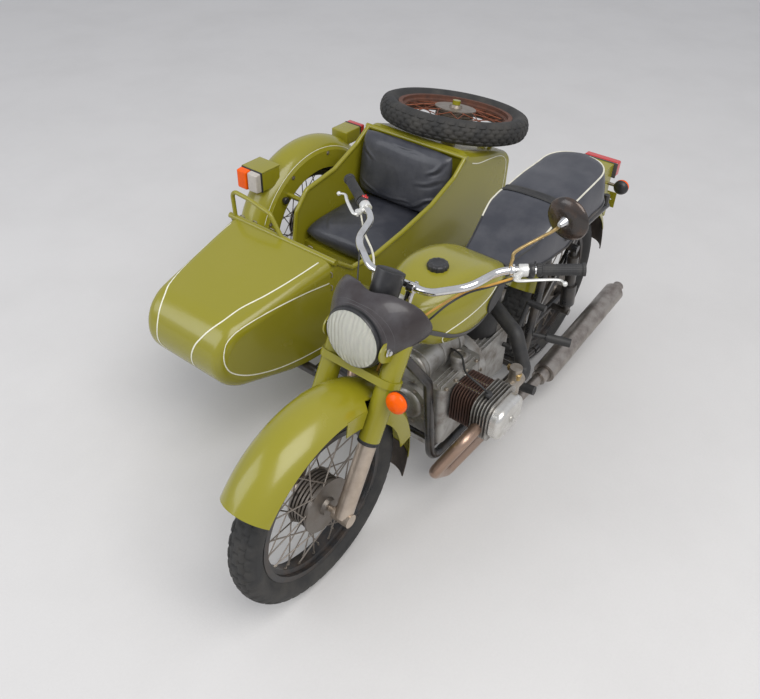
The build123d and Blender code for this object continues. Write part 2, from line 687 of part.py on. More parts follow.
SADDLE_SECTIONS = (  # x, half width, base, top and corner radius
    (TANK_REAR - 8, 78, 722, 762, 16), (560, 86, 714, 774, 22),
    (451, 120, SADDLE_BASE, 808, 30), (385, 136, SADDLE_BASE, SADDLE_TOP, 30),
    (287, 144, SADDLE_BASE, SADDLE_TOP, 30), (246, 144, SADDLE_BASE, 856, 30),
    (140, 148, PILLION_BASE, PILLION_TOP, 30), (10, 148, PILLION_BASE, PILLION_TOP, 30),
    (-50, 134, PILLION_BASE, PILLION_TOP + 4, 30), (-95, 106, PILLION_BASE + 2, PILLION_TOP + 4, 30),
    (-130, 62, PILLION_BASE + 10, PILLION_TOP, 30))


def saddle():
    """A stepped saddle for two, narrow at the tank and rounded at the back."""
    faces = []
    for x, half, low, high, corner in SADDLE_SECTIONS:
        face = RectangleRounded(2 * half, high - low, corner)
        faces.append(Plane(
            origin=(x, 0, (low + high) / 2), x_dir=(0, 1, 0), z_dir=(1, 0, 0)) * face)
    return loft(faces, ruled=True)


def rear_mudguard():
    """A round mudguard, the carrier of the tail lamp and the plate with two bolt holes."""
    guard = arc_shell(REAR_GUARD_HALF_WIDTH, REAR_GUARD_RADIUS, REAR_GUARD_EDGE_RADIUS, SHEET,
                      28, 152, REAR_AXLE)
    carrier = block((-370, -50, 534), (-290, 50, 641))
    carrier += block((LAMP_CARRIER_REAR, -60, 600), (-186, 60, LAMP_CARRIER_TOP))
    inside = rod((0, -70, AXLE_Z), (0, 70, AXLE_Z), REAR_GUARD_RADIUS - SHEET)
    face = PLATE_BOLT_CENTRE
    plate = block((face.X, -70, face.Z - 34), (face.X + 4, 70, face.Z + 34))
    plate += block((face.X, -30, face.Z - 12), (-366, 30, face.Z + 12))
    for side in SIDES:
        y = side * PLATE_BOLT_SPACING / 2
        plate -= rod((face.X - 1, y, face.Z), (face.X + 5, y, face.Z), PLATE_BOLT_RADIUS)
    return guard + (carrier - inside) + plate


def tail_lamp():
    """A wide red lamp on the back of its carrier, behind the saddle."""
    x = LAMP_CARRIER_REAR - FIT
    return block((x - 42, -76, 738), (x, 76, LAMP_CARRIER_TOP + 5), 12)


def rear_indicator():
    middle = Vector(-284, 116, 720)
    return indicator(middle, (-1, 0, 0.1), 30, 44) + rod(middle, (-284, 60 + FIT, 720), 8)


def rear_mud_flap():
    """A rubber flap under the rear edge of the rear mudguard."""
    return arc_shell(REAR_GUARD_HALF_WIDTH - 4, REAR_GUARD_RADIUS - 1, REAR_GUARD_EDGE_RADIUS + 2,
                     5, 152.05, 172, REAR_AXLE)


def linked_rods(points, radius):
    """Round bars from point to point, with a ball at each joint."""
    bar = rod(points[0], points[1], radius)
    for start, end in zip(points[1:], points[2:]):
        bar = bar + Pos(*start) * Sphere(radius) + rod(start, end, radius)
    return bar


def foot_controls():
    """Four footpegs, the gear lever, the brake pedal and the kick starter."""
    pieces = []
    for side in SIDES:
        cradle = rod((550, side * CRADLE_SPREAD, CRADLE_Z), (630, side * CRADLE_SPREAD, CRADLE_Z),
                     FRAME_TUBE + FIT)
        peg = linked_rods([(590, side * (CRADLE_SPREAD + 8), 205), (586, side * 160, 292),
                           (582, side * 262, 306)], 9)
        peg += rod((584, side * 176, 294), (582, side * 262, 306), 17)
        pieces.append((peg - cradle).solids().sort_by(SortBy.VOLUME)[-1])
        upright = rod((SWING_PIVOT_X, side * CRADLE_SPREAD, 330),
                      (330, side * CRADLE_SPREAD, RAIL_Z), FRAME_TUBE + FIT)
        second = rod((366, side * CRADLE_SPREAD, 362), (305, side * 258, 349), 9)
        second += rod((341, side * 172, 357), (305, side * 258, 349), 17)
        pieces.append((second - upright).solids().sort_by(SortBy.VOLUME)[-1])
        pedal = linked_rods([(660, side * (88 + FIT), 318), (660, side * 142, 318),
                             (742, side * 150, 300)], 7)
        pieces.append(pedal + rod((742, side * 140, 300), (742, side * 196, 300), 12))
    kick = linked_rods([(530, 88 + FIT, 400), (530, 118, 400), (452, 124, 560)], 9)
    pieces.append(kick + rod((452, 124, 560), (452, 190, 560), 12))
    return pieces


def sidecar_side_profile(inset):
    """The body's outline from the side, inset from the outer skin."""
    centre_x, radius = NOSE_TIP - NOSE_RADIUS, NOSE_RADIUS - inset
    deck, keel = radians(DECK_SLOPE), radians(KEEL_RISE)
    top = Vector(centre_x + radius * sin(deck), NOSE_Z + radius * cos(deck))
    bottom = Vector(centre_x + radius * sin(keel), NOSE_Z - radius * cos(keel))
    floor = SIDECAR_FLOOR + inset
    keel_x = bottom.X - (bottom.Y - floor) / tan(keel)
    rear, back_z = SIDECAR_REAR + inset, BACK_TOP_Z - inset
    tail_z = TAIL_TOP_Z - inset
    deck_end = Vector(DECK_BEND_X, top.Y + (top.X - DECK_BEND_X) * tan(deck))
    lines = [
        Line((rear, floor), (keel_x, floor)),
        Line((keel_x, floor), bottom),
        ThreePointArc(bottom, (centre_x + radius, NOSE_Z), top),
        Line(top, deck_end),
        Line(deck_end, (BACK_TOP_X, back_z)),
        Line((BACK_TOP_X, back_z), (rear, tail_z)),
        Line((rear, tail_z), (rear, floor)),
    ]
    return make_face(lines)


def sidecar_plan(inset):
    """The body's outline from above: parallel sides that close in at the nose."""
    left, right = SIDECAR_LEFT - inset, SIDECAR_RIGHT + inset
    rear, tip = SIDECAR_REAR + inset, NOSE_TIP - inset
    return make_face(Polyline(
        (rear, left), (COAMING_X, left), (tip, left - NOSE_TAPER),
        (tip, right + NOSE_TAPER), (COAMING_X, right), (rear, right), close=True))


def sidecar_form(inset):
    """The closed outer form, or the space inside it, with rounded long edges."""
    side = extrude(Plane.XZ * sidecar_side_profile(inset), 50 - SIDECAR_RIGHT, both=True)
    plan = extrude(sidecar_plan(inset), 1200)
    form = side & plan
    radius = BODY_EDGE_RADIUS - inset
    edges = form.edges().filter_by(lambda e: abs((e @ 0.5).X - SIDECAR_REAR) > 60)
    long_edges = [e for e in edges if abs((e @ 0).Y - (e @ 1).Y) < NOSE_TAPER + 20
                  and abs((e @ 0).X - (e @ 1).X) > 1 and (e @ 0.5).Z > SIDECAR_FLOOR + 30]
    return fillet(long_edges, radius)


RIM_LEFT = (  # x and z of the left rim, from the coaming back to the boot
    (COAMING_X, COAMING_Z), (752, 618), (610, 604), (440, 626), (250, 662), (95, 722),
    (22, 784))
RIM_RIGHT = (  # the right rim, with the way in
    (COAMING_X, COAMING_Z), (800, 560), (775, 405), (530, 405), (505, 560), (440, 636),
    (260, 664), (110, 728), (22, 784))


def rim_cut(points, low_y, high_y):
    """The space above one rim line."""
    line = FilletPolyline(*points, radius=34)
    start, end = Vector(*points[0]), Vector(*points[-1])
    face = make_face([line, Polyline((end.X, end.Y), (end.X, 1200), (start.X, 1200), (start.X, start.Y))])
    return extrude(Plane((0, high_y, 0), x_dir=(1, 0, 0), z_dir=(0, -1, 0)) * face, high_y - low_y)


def bead_tube(points, y):
    line = FilletPolyline(*[(x, y, z) for x, z in points], radius=34)
    section = Plane(origin=line @ 0, z_dir=line % 0) * Circle(BEAD_RADIUS)
    return sweep(section, path=line)


def lid_prism(gap):
    """The upright space over the boot's opening."""
    return block((LID_REAR + gap, SIDECAR_RIGHT + LID_MARGIN + gap, 560),
                 (LID_FRONT - gap, SIDECAR_LEFT - LID_MARGIN - gap, 1000))


def body_walls():
    """The wall between cockpit and boot, and the box that the seat stands on."""
    right, left = SIDECAR_RIGHT, SIDECAR_LEFT
    shelf = SEAT_TOP_Z - SEAT_DEPTH - FIT
    wall = block((RIM_END_X - BULKHEAD_WALL, right, SIDECAR_FLOOR), (RIM_END_X, left, BACK_TOP_Z))
    wall += block((RIM_END_X - 1, right, shelf - BODY_WALL), (SEAT_FRONT_X, left, shelf))
    return wall + block((SEAT_FRONT_X - BODY_WALL, right, SIDECAR_FLOOR), (SEAT_FRONT_X, left, shelf))


def sidecar_body():
    """The passenger's body: a hollow form with a rolled rim, a boot and a seat box."""
    outer = sidecar_form(0)
    inner = sidecar_form(BODY_WALL)
    shell = outer - (inner - body_walls())
    shell -= rim_cut(RIM_LEFT, SIDECAR_MIDDLE, SIDECAR_LEFT + 50)
    shell -= rim_cut(RIM_RIGHT, SIDECAR_RIGHT - 50, SIDECAR_MIDDLE)
    shell -= lid_prism(0)
    left, right = SIDECAR_LEFT - BODY_WALL / 2, SIDECAR_RIGHT + BODY_WALL / 2
    beads = [bead_tube(RIM_LEFT, left), bead_tube(RIM_RIGHT, right)]
    end = BEAD_RADIUS + 1
    for x, z in (RIM_LEFT[0], RIM_LEFT[-1]):
        beads.append(rod((x, right - end, z), (x, left + end, z), end))
    pin = LID_HINGE
    for side in SIDES:
        y = pin.Y + side * LID_HINGE_REACH
        beads.append(rod((pin.X, y, pin.Z), (pin.X, y - side * 56, pin.Z), LID_PIN_RADIUS))
        beads.append(block((pin.X - 9, y - 8, 672), (pin.X + 2, y + 8, pin.Z + 7)))
    for bead in beads:
        shell = shell + bead
    return shell


def boot_lid():
    """The lid over the boot, with the pad and stud that carry the spare wheel."""
    lid = (sidecar_form(0) - sidecar_form(BODY_WALL)) & lid_prism(LID_GAP)
    centre, up = spare_centre()
    foot = centre - up * 98
    post = rod(foot, centre - up * (HUB_HALF_WIDTH + 12 + FIT), 34)
    post += rod(foot, centre + up * 62, AXLE_RADIUS - 0.5)
    nut = rod(centre + up * (HUB_HALF_WIDTH + 12 + FIT), centre + up * 66, 18)
    lid = lid + post + nut
    pin = LID_HINGE
    for side in SIDES:
        outer, inner = pin.Y + side * (LID_HINGE_REACH - 15), pin.Y + side * (LID_HINGE_REACH - 50)
        lid += rod((pin.X, inner, pin.Z), (pin.X, outer, pin.Z), 9)
        lid += block((pin.X + 2, min(inner, outer), pin.Z - 7), (pin.X + 46, max(inner, outer), pin.Z))
        lid += block((pin.X + 36, min(inner, outer), 690), (pin.X + 46, max(inner, outer), pin.Z))
        lid -= rod((pin.X, pin.Y + side * (LID_HINGE_REACH - 60), pin.Z),
                   (pin.X, outer + side, pin.Z), LID_PIN_RADIUS + BEARING_FIT)
    return lid


def spare_centre():
    """The middle of the spare wheel, and the way its axle points."""
    tilt = radians(SPARE_TILT)
    return Vector(SPARE_X, SIDECAR_MIDDLE, SPARE_Z), Vector(-sin(tilt), 0, cos(tilt))


def as_spare(solid):
    """A wheel part laid on the boot lid."""
    centre, _ = spare_centre()
    return Pos(*centre) * Rot(0, -SPARE_TILT, 0) * Rot(90, 0, 0) * solid


def sidecar_cushion():
    gap = 12
    return block((60, SIDECAR_RIGHT + BODY_WALL + gap, SEAT_TOP_Z - SEAT_DEPTH),
                 (SEAT_FRONT_X, SIDECAR_LEFT - BODY_WALL - gap, SEAT_TOP_Z), 40)


def sidecar_backrest():
    """A wedge of padding against the rolled front edge of the boot."""
    rear, top, gap = RIM_END_X + BEAD_RADIUS + 1 + FIT + 0.4, BACK_TOP_Z - 2, 16
    side = make_face(Polyline((rear, SEAT_TOP_Z + 5), (158, SEAT_TOP_Z + 5), (112, top), (rear, top),
                              close=True))
    half = (SIDECAR_LEFT - SIDECAR_RIGHT) / 2 - BODY_WALL - gap
    rest = Pos(0, SIDECAR_MIDDLE, 0) * extrude(Plane.XZ * side, half, both=True)
    front = [e for e in rest.edges() if (e @ 0.5).X > 100 and abs((e @ 0.5).Z - 660) < 80]
    return fillet(front, 30)


def grab_rail():
    """A bent handrail on the front edge of the cockpit."""
    x, foot = COAMING_X, COAMING_Z + 4
    rail = bent_tube([(x, y, z) for y, z in (
        (SIDECAR_RIGHT + 22, foot), (SIDECAR_RIGHT + 16, 800), (-840, 792), (-740, 770),
        (-690, foot))], 8, 24)
    bead = rod((x, SIDECAR_RIGHT, COAMING_Z), (x, SIDECAR_MIDDLE + 100, COAMING_Z),
               BEAD_RADIUS + 1 + FIT)
    return (rail - bead).solids().sort_by(SortBy.VOLUME)[-1]


def sidecar_mudguard():
    """A round crown with a side plate towards the body, open round the hub,
    and the two stays that hold it to the body."""
    guard = arc_shell(SIDECAR_GUARD_HALF_WIDTH, SIDECAR_GUARD_RADIUS,
                      SIDECAR_GUARD_EDGE_RADIUS, SHEET, -6, 190, SIDECAR_AXLE)
    inner_y = SIDECAR_GUARD_HALF_WIDTH
    ring = [(inner_y - SHEET, GUARD_RING_RADIUS), (inner_y, GUARD_RING_RADIUS),
            (inner_y, SIDECAR_GUARD_EDGE_RADIUS + 4), (inner_y - SHEET, SIDECAR_GUARD_EDGE_RADIUS + 4)]
    profile = Rot(0, 90 - 190, 0) * (Plane.YZ * make_face(Polyline(*ring, close=True)))
    plate = Pos(*SIDECAR_AXLE) * revolve(profile, Axis.Y, 196)
    whole = guard + plate
    for x in (SIDECAR_LEAD - 200, SIDECAR_LEAD + 200):
        whole += rod((x, inner_y - TRACK - 1, 580), (x, SIDECAR_RIGHT - FIT, 580), 9)
    return whole


def sidecar_lamps():
    """A front and a rear lamp, each on a box on the mudguard's crown."""
    front = block((SIDECAR_LEAD + 215, -TRACK - 62, 626), (SIDECAR_LEAD + 356, -TRACK + 56, 716), 8)
    rear = block((SIDECAR_LEAD - 372, -TRACK - 52, 640), (SIDECAR_LEAD - 238, -TRACK + 42, 705), 8)
    gap = arc_shell_solid()
    return [(lamp - gap) for lamp in (front, rear)]


def arc_shell_solid():
    """The space that the sidecar mudguard's crown fills, with a fit round it."""
    half, crown, edge = SIDECAR_GUARD_HALF_WIDTH, SIDECAR_GUARD_RADIUS, SIDECAR_GUARD_EDGE_RADIUS
    outline = [
        ThreePointArc((-half - FIT, edge), (0, crown + FIT), (half + FIT, edge)),
        Line((half + FIT, edge), (half + FIT, 100)),
        Line((half + FIT, 100), (-half - FIT, 100)),
        Line((-half - FIT, 100), (-half - FIT, edge)),
    ]
    return Pos(*SIDECAR_AXLE) * revolve(Plane.YZ * make_face(outline), Axis.Y)


def sidecar_frame():
    """Tubes under the body, and the four arms that join it to the motorcycle."""
    z, r = SIDECAR_FRAME_Z, 20
    left, right = SIDECAR_LEFT + 15, SIDECAR_RIGHT + 20
    loop = [rod((980, left, z), (-300, left, z), r), rod((980, right, z), (-300, right, z), r)]
    for x in (980, SIDECAR_LEAD, -300):
        loop.append(rod((x, left, z), (x, right, z), r))
    for x in (980, -300):
        loop += [Pos(x, y, z) * Sphere(r) for y in (left, right)]
        loop += [rod((x - 60 * (x > 0), y, z), (x - 60 * (x > 0), y, SIDECAR_FLOOR - FIT), 15)
                 for y in (SIDECAR_LEFT - 70, right)]
    loop += [
        rod((900, left, z), (900, -CRADLE_SPREAD, CRADLE_Z + 2), 17),
        rod((386, left, z), (386, -CRADLE_SPREAD, 268), 17),
        rod((972, left + 4, z + 6), (1079, -64, 640), 13),
        rod((300, left + 2, z + 6), (250, -CRADLE_SPREAD, RAIL_Z - 8), 12),
    ]
    frame = loop[0]
    for tube in loop[1:]:
        frame = frame + tube
    frame -= bent_tube(cradle_points(-1), FRAME_TUBE + FIT, 60)
    frame -= rod((430, -CRADLE_SPREAD, RAIL_Z), (-170, -CRADLE_SPREAD, RAIL_Z), RAIL_RADIUS + FIT)
    return frame.solids().sort_by(SortBy.VOLUME)[-1]


def sidecar_swing_arm():
    """The arm and the stub axle that carry the sidecar's wheel."""
    right = SIDECAR_RIGHT + 20
    z = SIDECAR_FRAME_Z
    arm = rod((SIDECAR_LEAD + 250, right - 40, z + 8), (SIDECAR_LEAD, right - 92, AXLE_Z), 20)
    arm += rod((SIDECAR_LEAD + 250, right - 20 - FIT, z), (SIDECAR_LEAD + 250, right - 60, z), 26)
    axle_y = -TRACK + HUB_HALF_WIDTH + 12
    arm += rod((SIDECAR_LEAD, right - 92, AXLE_Z), (SIDECAR_LEAD, axle_y + 8, AXLE_Z), 30)
    arm += rod((SIDECAR_LEAD, axle_y + 10, AXLE_Z),
               (SIDECAR_LEAD, -TRACK - HUB_HALF_WIDTH - 24, AXLE_Z), AXLE_RADIUS)
    return arm


def centre_stand():
    """A folded stand: a cross tube under the frame with two legs that lie back."""
    x, z, spread = STAND_PIVOT.X, STAND_PIVOT.Z, CRADLE_SPREAD - 30
    stand = rod((x, -spread, z), (x, spread, z), 11)
    for side in SIDES:
        stand += rod((x, side * spread, z), (x - 128, side * spread, z - 14), 11)
        stand += rod((x - 124, side * spread, z - 14), (x - 156, side * spread, z - 14), 15)
        stand += rod((x, side * (spread - 10), z), (x, side * (spread + 11), z), 13)
        stand -= rod((x, side * 78, z), (x, side * 120, z), STAND_PIN_RADIUS + BEARING_FIT)
    return stand


def wheel_nodes(name, tyre, rim, hub, place):
    return {name + "_tyre": place(tyre), name + "_rim": place(rim), name + "_hub": place(hub)}


def all_nodes():
    tyre, rim, hub = tyre_at_origin(), rim_at_origin(), hub_at_origin()
    nodes = {}
    for name, axle in (("front", FRONT_AXLE), ("rear", REAR_AXLE), ("sidecar", SIDECAR_AXLE)):
        nodes.update(wheel_nodes(name, tyre, rim, hub, lambda s, a=axle: Pos(*a) * s))
    nodes.update(wheel_nodes("spare", tyre, rim, hub, as_spare))
    makers = (
        main_frame, swinging_arm, rear_shock_absorbers, crankcase, gearbox, cylinder_barrels,
        cylinder_heads, rocker_covers, pushrod_tubes, carburettors, air_cleaner, exhaust_system,
        final_drive, fuel_tank, filler_cap, saddle, rear_mudguard, tail_lamp, rear_indicator,
        rear_mud_flap, foot_controls, fork_yokes, fork_legs, fork_covers, headlamp_shell,
        headlamp_lens, handlebar, handlebar_grips, control_levers, rear_view_mirror,
        instrument_pod, front_mudguard, front_mud_flap, front_indicator, sidecar_body, boot_lid,
        sidecar_cushion, sidecar_backrest, grab_rail, sidecar_mudguard, sidecar_lamps,
        sidecar_frame, sidecar_swing_arm, centre_stand)
    for maker in makers:
        nodes[maker.__name__] = maker()
    return nodes


def as_compound(shape):
    solids = []
    for piece in (shape if isinstance(shape, list) else [shape]):
        solids += piece.solids()
    return Compound(children=solids) if len(solids) > 1 else solids[0]


def main():
    os.makedirs("parts", exist_ok=True)
    nodes = {name: as_compound(shape) for name, shape in all_nodes().items()}
    boxes = [shape.bounding_box() for shape in nodes.values()]
    middle_x = (min(b.min.X for b in boxes) + max(b.max.X for b in boxes)) / 2
    middle_y = (min(b.min.Y for b in boxes) + max(b.max.Y for b in boxes)) / 2
    print("origin at", middle_x, middle_y)
    for name, shape in nodes.items():
        export_step(shape.moved(Location((-middle_x, -middle_y, 0))), f"parts/{name}.step")


if __name__ == "__main__":
    main()
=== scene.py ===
from math import cos, pi, radians, sin, tau

import bmesh
import bpy
import numpy as np
from bpy.props import FloatProperty, FloatVectorProperty
from mathutils import Matrix, Vector


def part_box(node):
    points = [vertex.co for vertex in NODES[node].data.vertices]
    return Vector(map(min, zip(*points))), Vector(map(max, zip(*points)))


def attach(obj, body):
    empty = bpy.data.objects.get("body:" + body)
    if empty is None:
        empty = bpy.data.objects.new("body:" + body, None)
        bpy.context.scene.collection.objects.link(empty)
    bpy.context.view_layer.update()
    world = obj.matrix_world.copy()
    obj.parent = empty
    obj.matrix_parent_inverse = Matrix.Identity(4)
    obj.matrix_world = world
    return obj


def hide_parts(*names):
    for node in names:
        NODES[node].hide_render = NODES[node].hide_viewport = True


bl_info = {
    "name": "Sidecar motorcycle",
    "version": (1, 0, 0),
    "blender": (4, 5, 0),
    "location": "View3D > Sidebar > Sidecar",
    "description": "Dresses the packed frame of a sidecar motorcycle with its finishes and soft pieces",
    "category": "Object",
}

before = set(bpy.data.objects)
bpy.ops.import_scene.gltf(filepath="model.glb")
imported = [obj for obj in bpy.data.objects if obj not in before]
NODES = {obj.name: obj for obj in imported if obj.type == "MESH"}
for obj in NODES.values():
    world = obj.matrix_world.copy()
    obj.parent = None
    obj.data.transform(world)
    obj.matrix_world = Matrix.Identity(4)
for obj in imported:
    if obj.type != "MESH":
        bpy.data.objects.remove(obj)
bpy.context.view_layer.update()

# The machine is measured in millimetres from its rear axle: x forward, y to the
# rider's left, z up from the ground. REAR is that axle in the frame's metres.
_low, _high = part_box("rear_tyre")
REAR = ((_low[0] + _high[0]) / 2, (_low[1] + _high[1]) / 2)

# Sizes of the part, which the pieces here are placed by
WHEELBASE = 1450.0
AXLE_Z = 335.0
RAKE = radians(27)
FORK_OFFSET = 60.0
LEG_SPREAD = 98.0
COVER_BOTTOM = 258.0
YOKE_TOP = 644.5
LAMP_HEIGHT = 531.0
LAMP_TILT = radians(3)
CLAMP_SPREAD = 47.0
CLAMP_FORWARD = 9.5
BAR_RADIUS = 11.0
SIDECAR_MIDDLE = -694.0
SIDECAR_WHEEL_X = 240.0
SIDECAR_WHEEL_Y = -1130.0
GUARD_WALL_Y = -1049.0
DECK_SLOPE = np.tan(radians(10.3))
SPARE_TILT = radians(10.8)

WHEEL_MIDDLES = {"front": (WHEELBASE, 0, AXLE_Z), "rear": (0, 0, AXLE_Z),
                 "sidecar": (SIDECAR_WHEEL_X, SIDECAR_WHEEL_Y, AXLE_Z)}
WHEEL_BODIES = (("front", "front_wheel"), ("rear", "rear_wheel"),
                ("sidecar", "sidecar_wheel"), ("spare", "boot_lid"))
SPARE_MIDDLE = (-275, SIDECAR_MIDDLE, 808)
SPARE_AXLE = (-sin(SPARE_TILT), 0, cos(SPARE_TILT))
HALF_BAR = ((1090, 100, 932), (1035, 190, 962), (925, 222, 974), (806, 408, 996))
LEFT, RIGHT, UP, AHEAD = (0, 1.0, 0), (0, -1.0, 0), (0, 0, 1), (1, 0, 0)
SIDES = (1, -1)


# Places
def metres(points):
    """Points of the machine in millimetres as points of the frame in metres."""
    return np.asarray(points, float) / 1000 + np.array([REAR[0], REAR[1], 0.0])


def place(x, y, z):
    return Vector(metres((x, y, z)))


def unit(vectors):
    vectors = np.asarray(vectors, float)
    return vectors / np.linalg.norm(vectors, axis=-1, keepdims=True)


def mirrored(points):
    return np.asarray(points, float) * (1, -1, 1)


# Steering axis: its foot, and its forward and upward directions
STEER_FOOT = np.array([WHEELBASE - FORK_OFFSET * cos(RAKE), 0, AXLE_Z - FORK_OFFSET * sin(RAKE)])
STEER_UP = np.array([-sin(RAKE), 0, cos(RAKE)])
STEER_FORWARD = np.array([cos(RAKE), 0, sin(RAKE)])


def fork_point(forward, side, up):
    """A point given across and up the steering axis, as a point of the machine."""
    return STEER_FOOT + STEER_FORWARD * forward + np.array([0, side, 0]) + STEER_UP * up


# The handlebar's straight end: its tip and the direction back along it
BAR_TIP = np.array(HALF_BAR[-1], float)
BAR_BACK = unit(np.array(HALF_BAR[-2]) - BAR_TIP)


def along_bar(side, back, forward=0.0, up=0.0):
    """A point on the bar's straight end, measured inwards from its tip."""
    point = BAR_TIP + BAR_BACK * back
    return point * (1, side, 1) + (forward, 0, up)


# Meshes
def add_mesh(name, points, faces, material, smooth=True):
    mesh = bpy.data.meshes.new(name)
    mesh.from_pydata(np.asarray(points).tolist(), [], [list(f) for f in faces])
    mesh.materials.append(MATERIALS[material])
    mesh.polygons.foreach_set("use_smooth", np.full(len(mesh.polygons), smooth))
    mesh.update()
    piece = bpy.data.objects.new(name, mesh)
    bpy.context.scene.collection.objects.link(piece)
    return piece


def grid_faces(rows, columns, close_rows, close_columns):
    """Quads between neighbouring points of a grid, wrapped where it is closed."""
    i = np.arange(rows if close_rows else rows - 1)
    j = np.arange(columns if close_columns else columns - 1)
    i, j = np.meshgrid(i, j, indexing="ij")
    right, down = (j + 1) % columns, (i + 1) % rows
    return np.stack([i * columns + j, i * columns + right,
                     down * columns + right, down * columns + j], -1).reshape(-1, 4)


def grid_piece(name, grid, material, close_rows=False, close_columns=False, cap=False):
    """A surface through a grid of points in millimetres. A capped one has its first
    and last rows closed by a fan to their middle."""
    rows, columns = grid.shape[:2]
    points = grid.reshape(-1, 3)
    faces = grid_faces(rows, columns, close_rows, close_columns).tolist()
    if cap:
        first, last = len(points), len(points) + 1
        points = np.vstack([points, grid[0].mean(0), grid[-1].mean(0)])
        ring = np.arange(columns)
        after = (ring + 1) % columns
        base = (rows - 1) * columns
        faces += np.stack([np.full(columns, first), after, ring], -1).tolist()
        faces += np.stack([np.full(columns, last), base + ring, base + after], -1).tolist()
    return add_mesh(name, metres(points), faces, material)


def face_outwards(piece, crease=38):
    """Merges doubles, turns the faces outwards and marks the sharp edges."""
    shape = bmesh.new()
    shape.from_mesh(piece.data)
    bmesh.ops.remove_doubles(shape, verts=shape.verts, dist=1e-6)
    bmesh.ops.recalc_face_normals(shape, faces=shape.faces)
    shape.to_mesh(piece.data)
    shape.free()
    piece.data.set_sharp_from_angle(angle=radians(crease))
    return piece


def bake(piece):
    """Applies the piece's modifiers to its mesh."""
    depsgraph = bpy.context.evaluated_depsgraph_get()
    mesh = bpy.data.meshes.new_from_object(piece.evaluated_get(depsgraph), depsgraph=depsgraph)
    old = piece.data
    piece.modifiers.clear()
    piece.data = mesh
    bpy.data.meshes.remove(old)
    return piece


def thicken(piece, thickness, offset):
    """Gives a sheet a wall, in millimetres."""
    wall = piece.modifiers.new("wall", "SOLIDIFY")
    wall.thickness, wall.offset = thickness / 1000, offset


def drop_on(piece, node_name, proud):
    """Lays a sheet on a CAD node, standing a little proud of it, in millimetres."""
    drop = piece.modifiers.new("drop", "SHRINKWRAP")
    drop.target, drop.wrap_method = NODES[node_name], "NEAREST_SURFACEPOINT"
    drop.wrap_mode, drop.offset = "ABOVE_SURFACE", proud / 1000


def join(name, pieces):
    """One object from several, with their materials kept."""
    shape, materials = bmesh.new(), []
    for piece in pieces:
        for material in piece.data.materials:
            if material not in materials:
                materials.append(material)
        order = [materials.index(m) for m in piece.data.materials]
        start = len(shape.faces)
        shape.from_mesh(piece.data)
        shape.faces.ensure_lookup_table()
        for face in shape.faces[start:]:
            face.material_index = order[face.material_index]
        bpy.data.objects.remove(piece)
    mesh = bpy.data.meshes.new(name)
    shape.to_mesh(mesh)
    shape.free()
    for material in materials:
        mesh.materials.append(material)
    whole = bpy.data.objects.new(name, mesh)
    bpy.context.scene.collection.objects.link(whole)
    return whole


def smooth_line(points, count):
    """A Catmull-Rom line through the points: each stretch is a cubic whose slopes are
    half the way between its neighbours."""
    points = np.asarray(points, float)
    padded = np.vstack([2 * points[0] - points[1], points, 2 * points[-1] - points[-2]])
    t = np.linspace(0, len(points) - 1, count)
    i = np.minimum(t.astype(int), len(points) - 2)
    f = (t - i)[:, None]
    a, b, c, d = padded[i], padded[i + 1], padded[i + 2], padded[i + 3]
    return 0.5 * (2 * b + (c - a) * f + (2 * a - 5 * b + 4 * c - d) * f ** 2
                  + (3 * b - a - 3 * c + d) * f ** 3)


def bent_line(points, bend):
    """Straight stretches joined by arcs of one bend radius. Each arc begins and ends
    bend tan(turn / 2) from its corner."""
    points = np.asarray(points, float)
    line = [points[0]]
    for before, corner, after in zip(points, points[1:], points[2:]):
        coming, going = unit(corner - before), unit(after - corner)
        turn = np.arccos(np.clip(coming @ going, -1, 1))
        inward = unit(going - coming * (coming @ going))
        start = corner - coming * bend * np.tan(turn / 2)
        for angle in np.linspace(0, turn, 11):
            line.append(start + bend * (inward * (1 - cos(angle)) + coming * sin(angle)))
    return np.array(line + [points[-1]])


def smooth_values(knots, at):
    """Values read off a smooth line through (place, value...) rows, at given places."""
    line = smooth_line(knots, 400)
    return [np.interp(at, line[:, 0], line[:, k]) for k in range(1, line.shape[1])]


def frames_along(line):
    """Unit tangents, and two unit normals that turn as little as they can."""
    tangent = unit(np.gradient(line, axis=0))
    first = np.cross(tangent[0], (0, 0, 1.0))
    if np.linalg.norm(first) < 1e-3:
        first = np.cross(tangent[0], (0, 1.0, 0))
    normals = [unit(first)]
    for step in tangent[1:]:
        normals.append(unit(normals[-1] - step * (normals[-1] @ step)))
    normals = np.array(normals)
    return tangent, normals, np.cross(tangent, normals)


def tube(name, line, radius, material, sides=12, flat=1.0):
    """A round bar carried along a line: point = line + radius (n cos a + b sin a).
    The radius may change along the line, and flat squeezes it across one normal."""
    line = np.asarray(line, float)
    _, normal, across = frames_along(line)
    angle = np.linspace(0, tau, sides, endpoint=False)
    radius = np.broadcast_to(np.asarray(radius, float), len(line))[:, None, None]
    ring = normal[:, None] * np.cos(angle)[None, :, None]
    ring = ring + across[:, None] * flat * np.sin(angle)[None, :, None]
    grid = line[:, None] + radius * ring
    return face_outwards(grid_piece(name, grid, material, close_columns=True, cap=True))


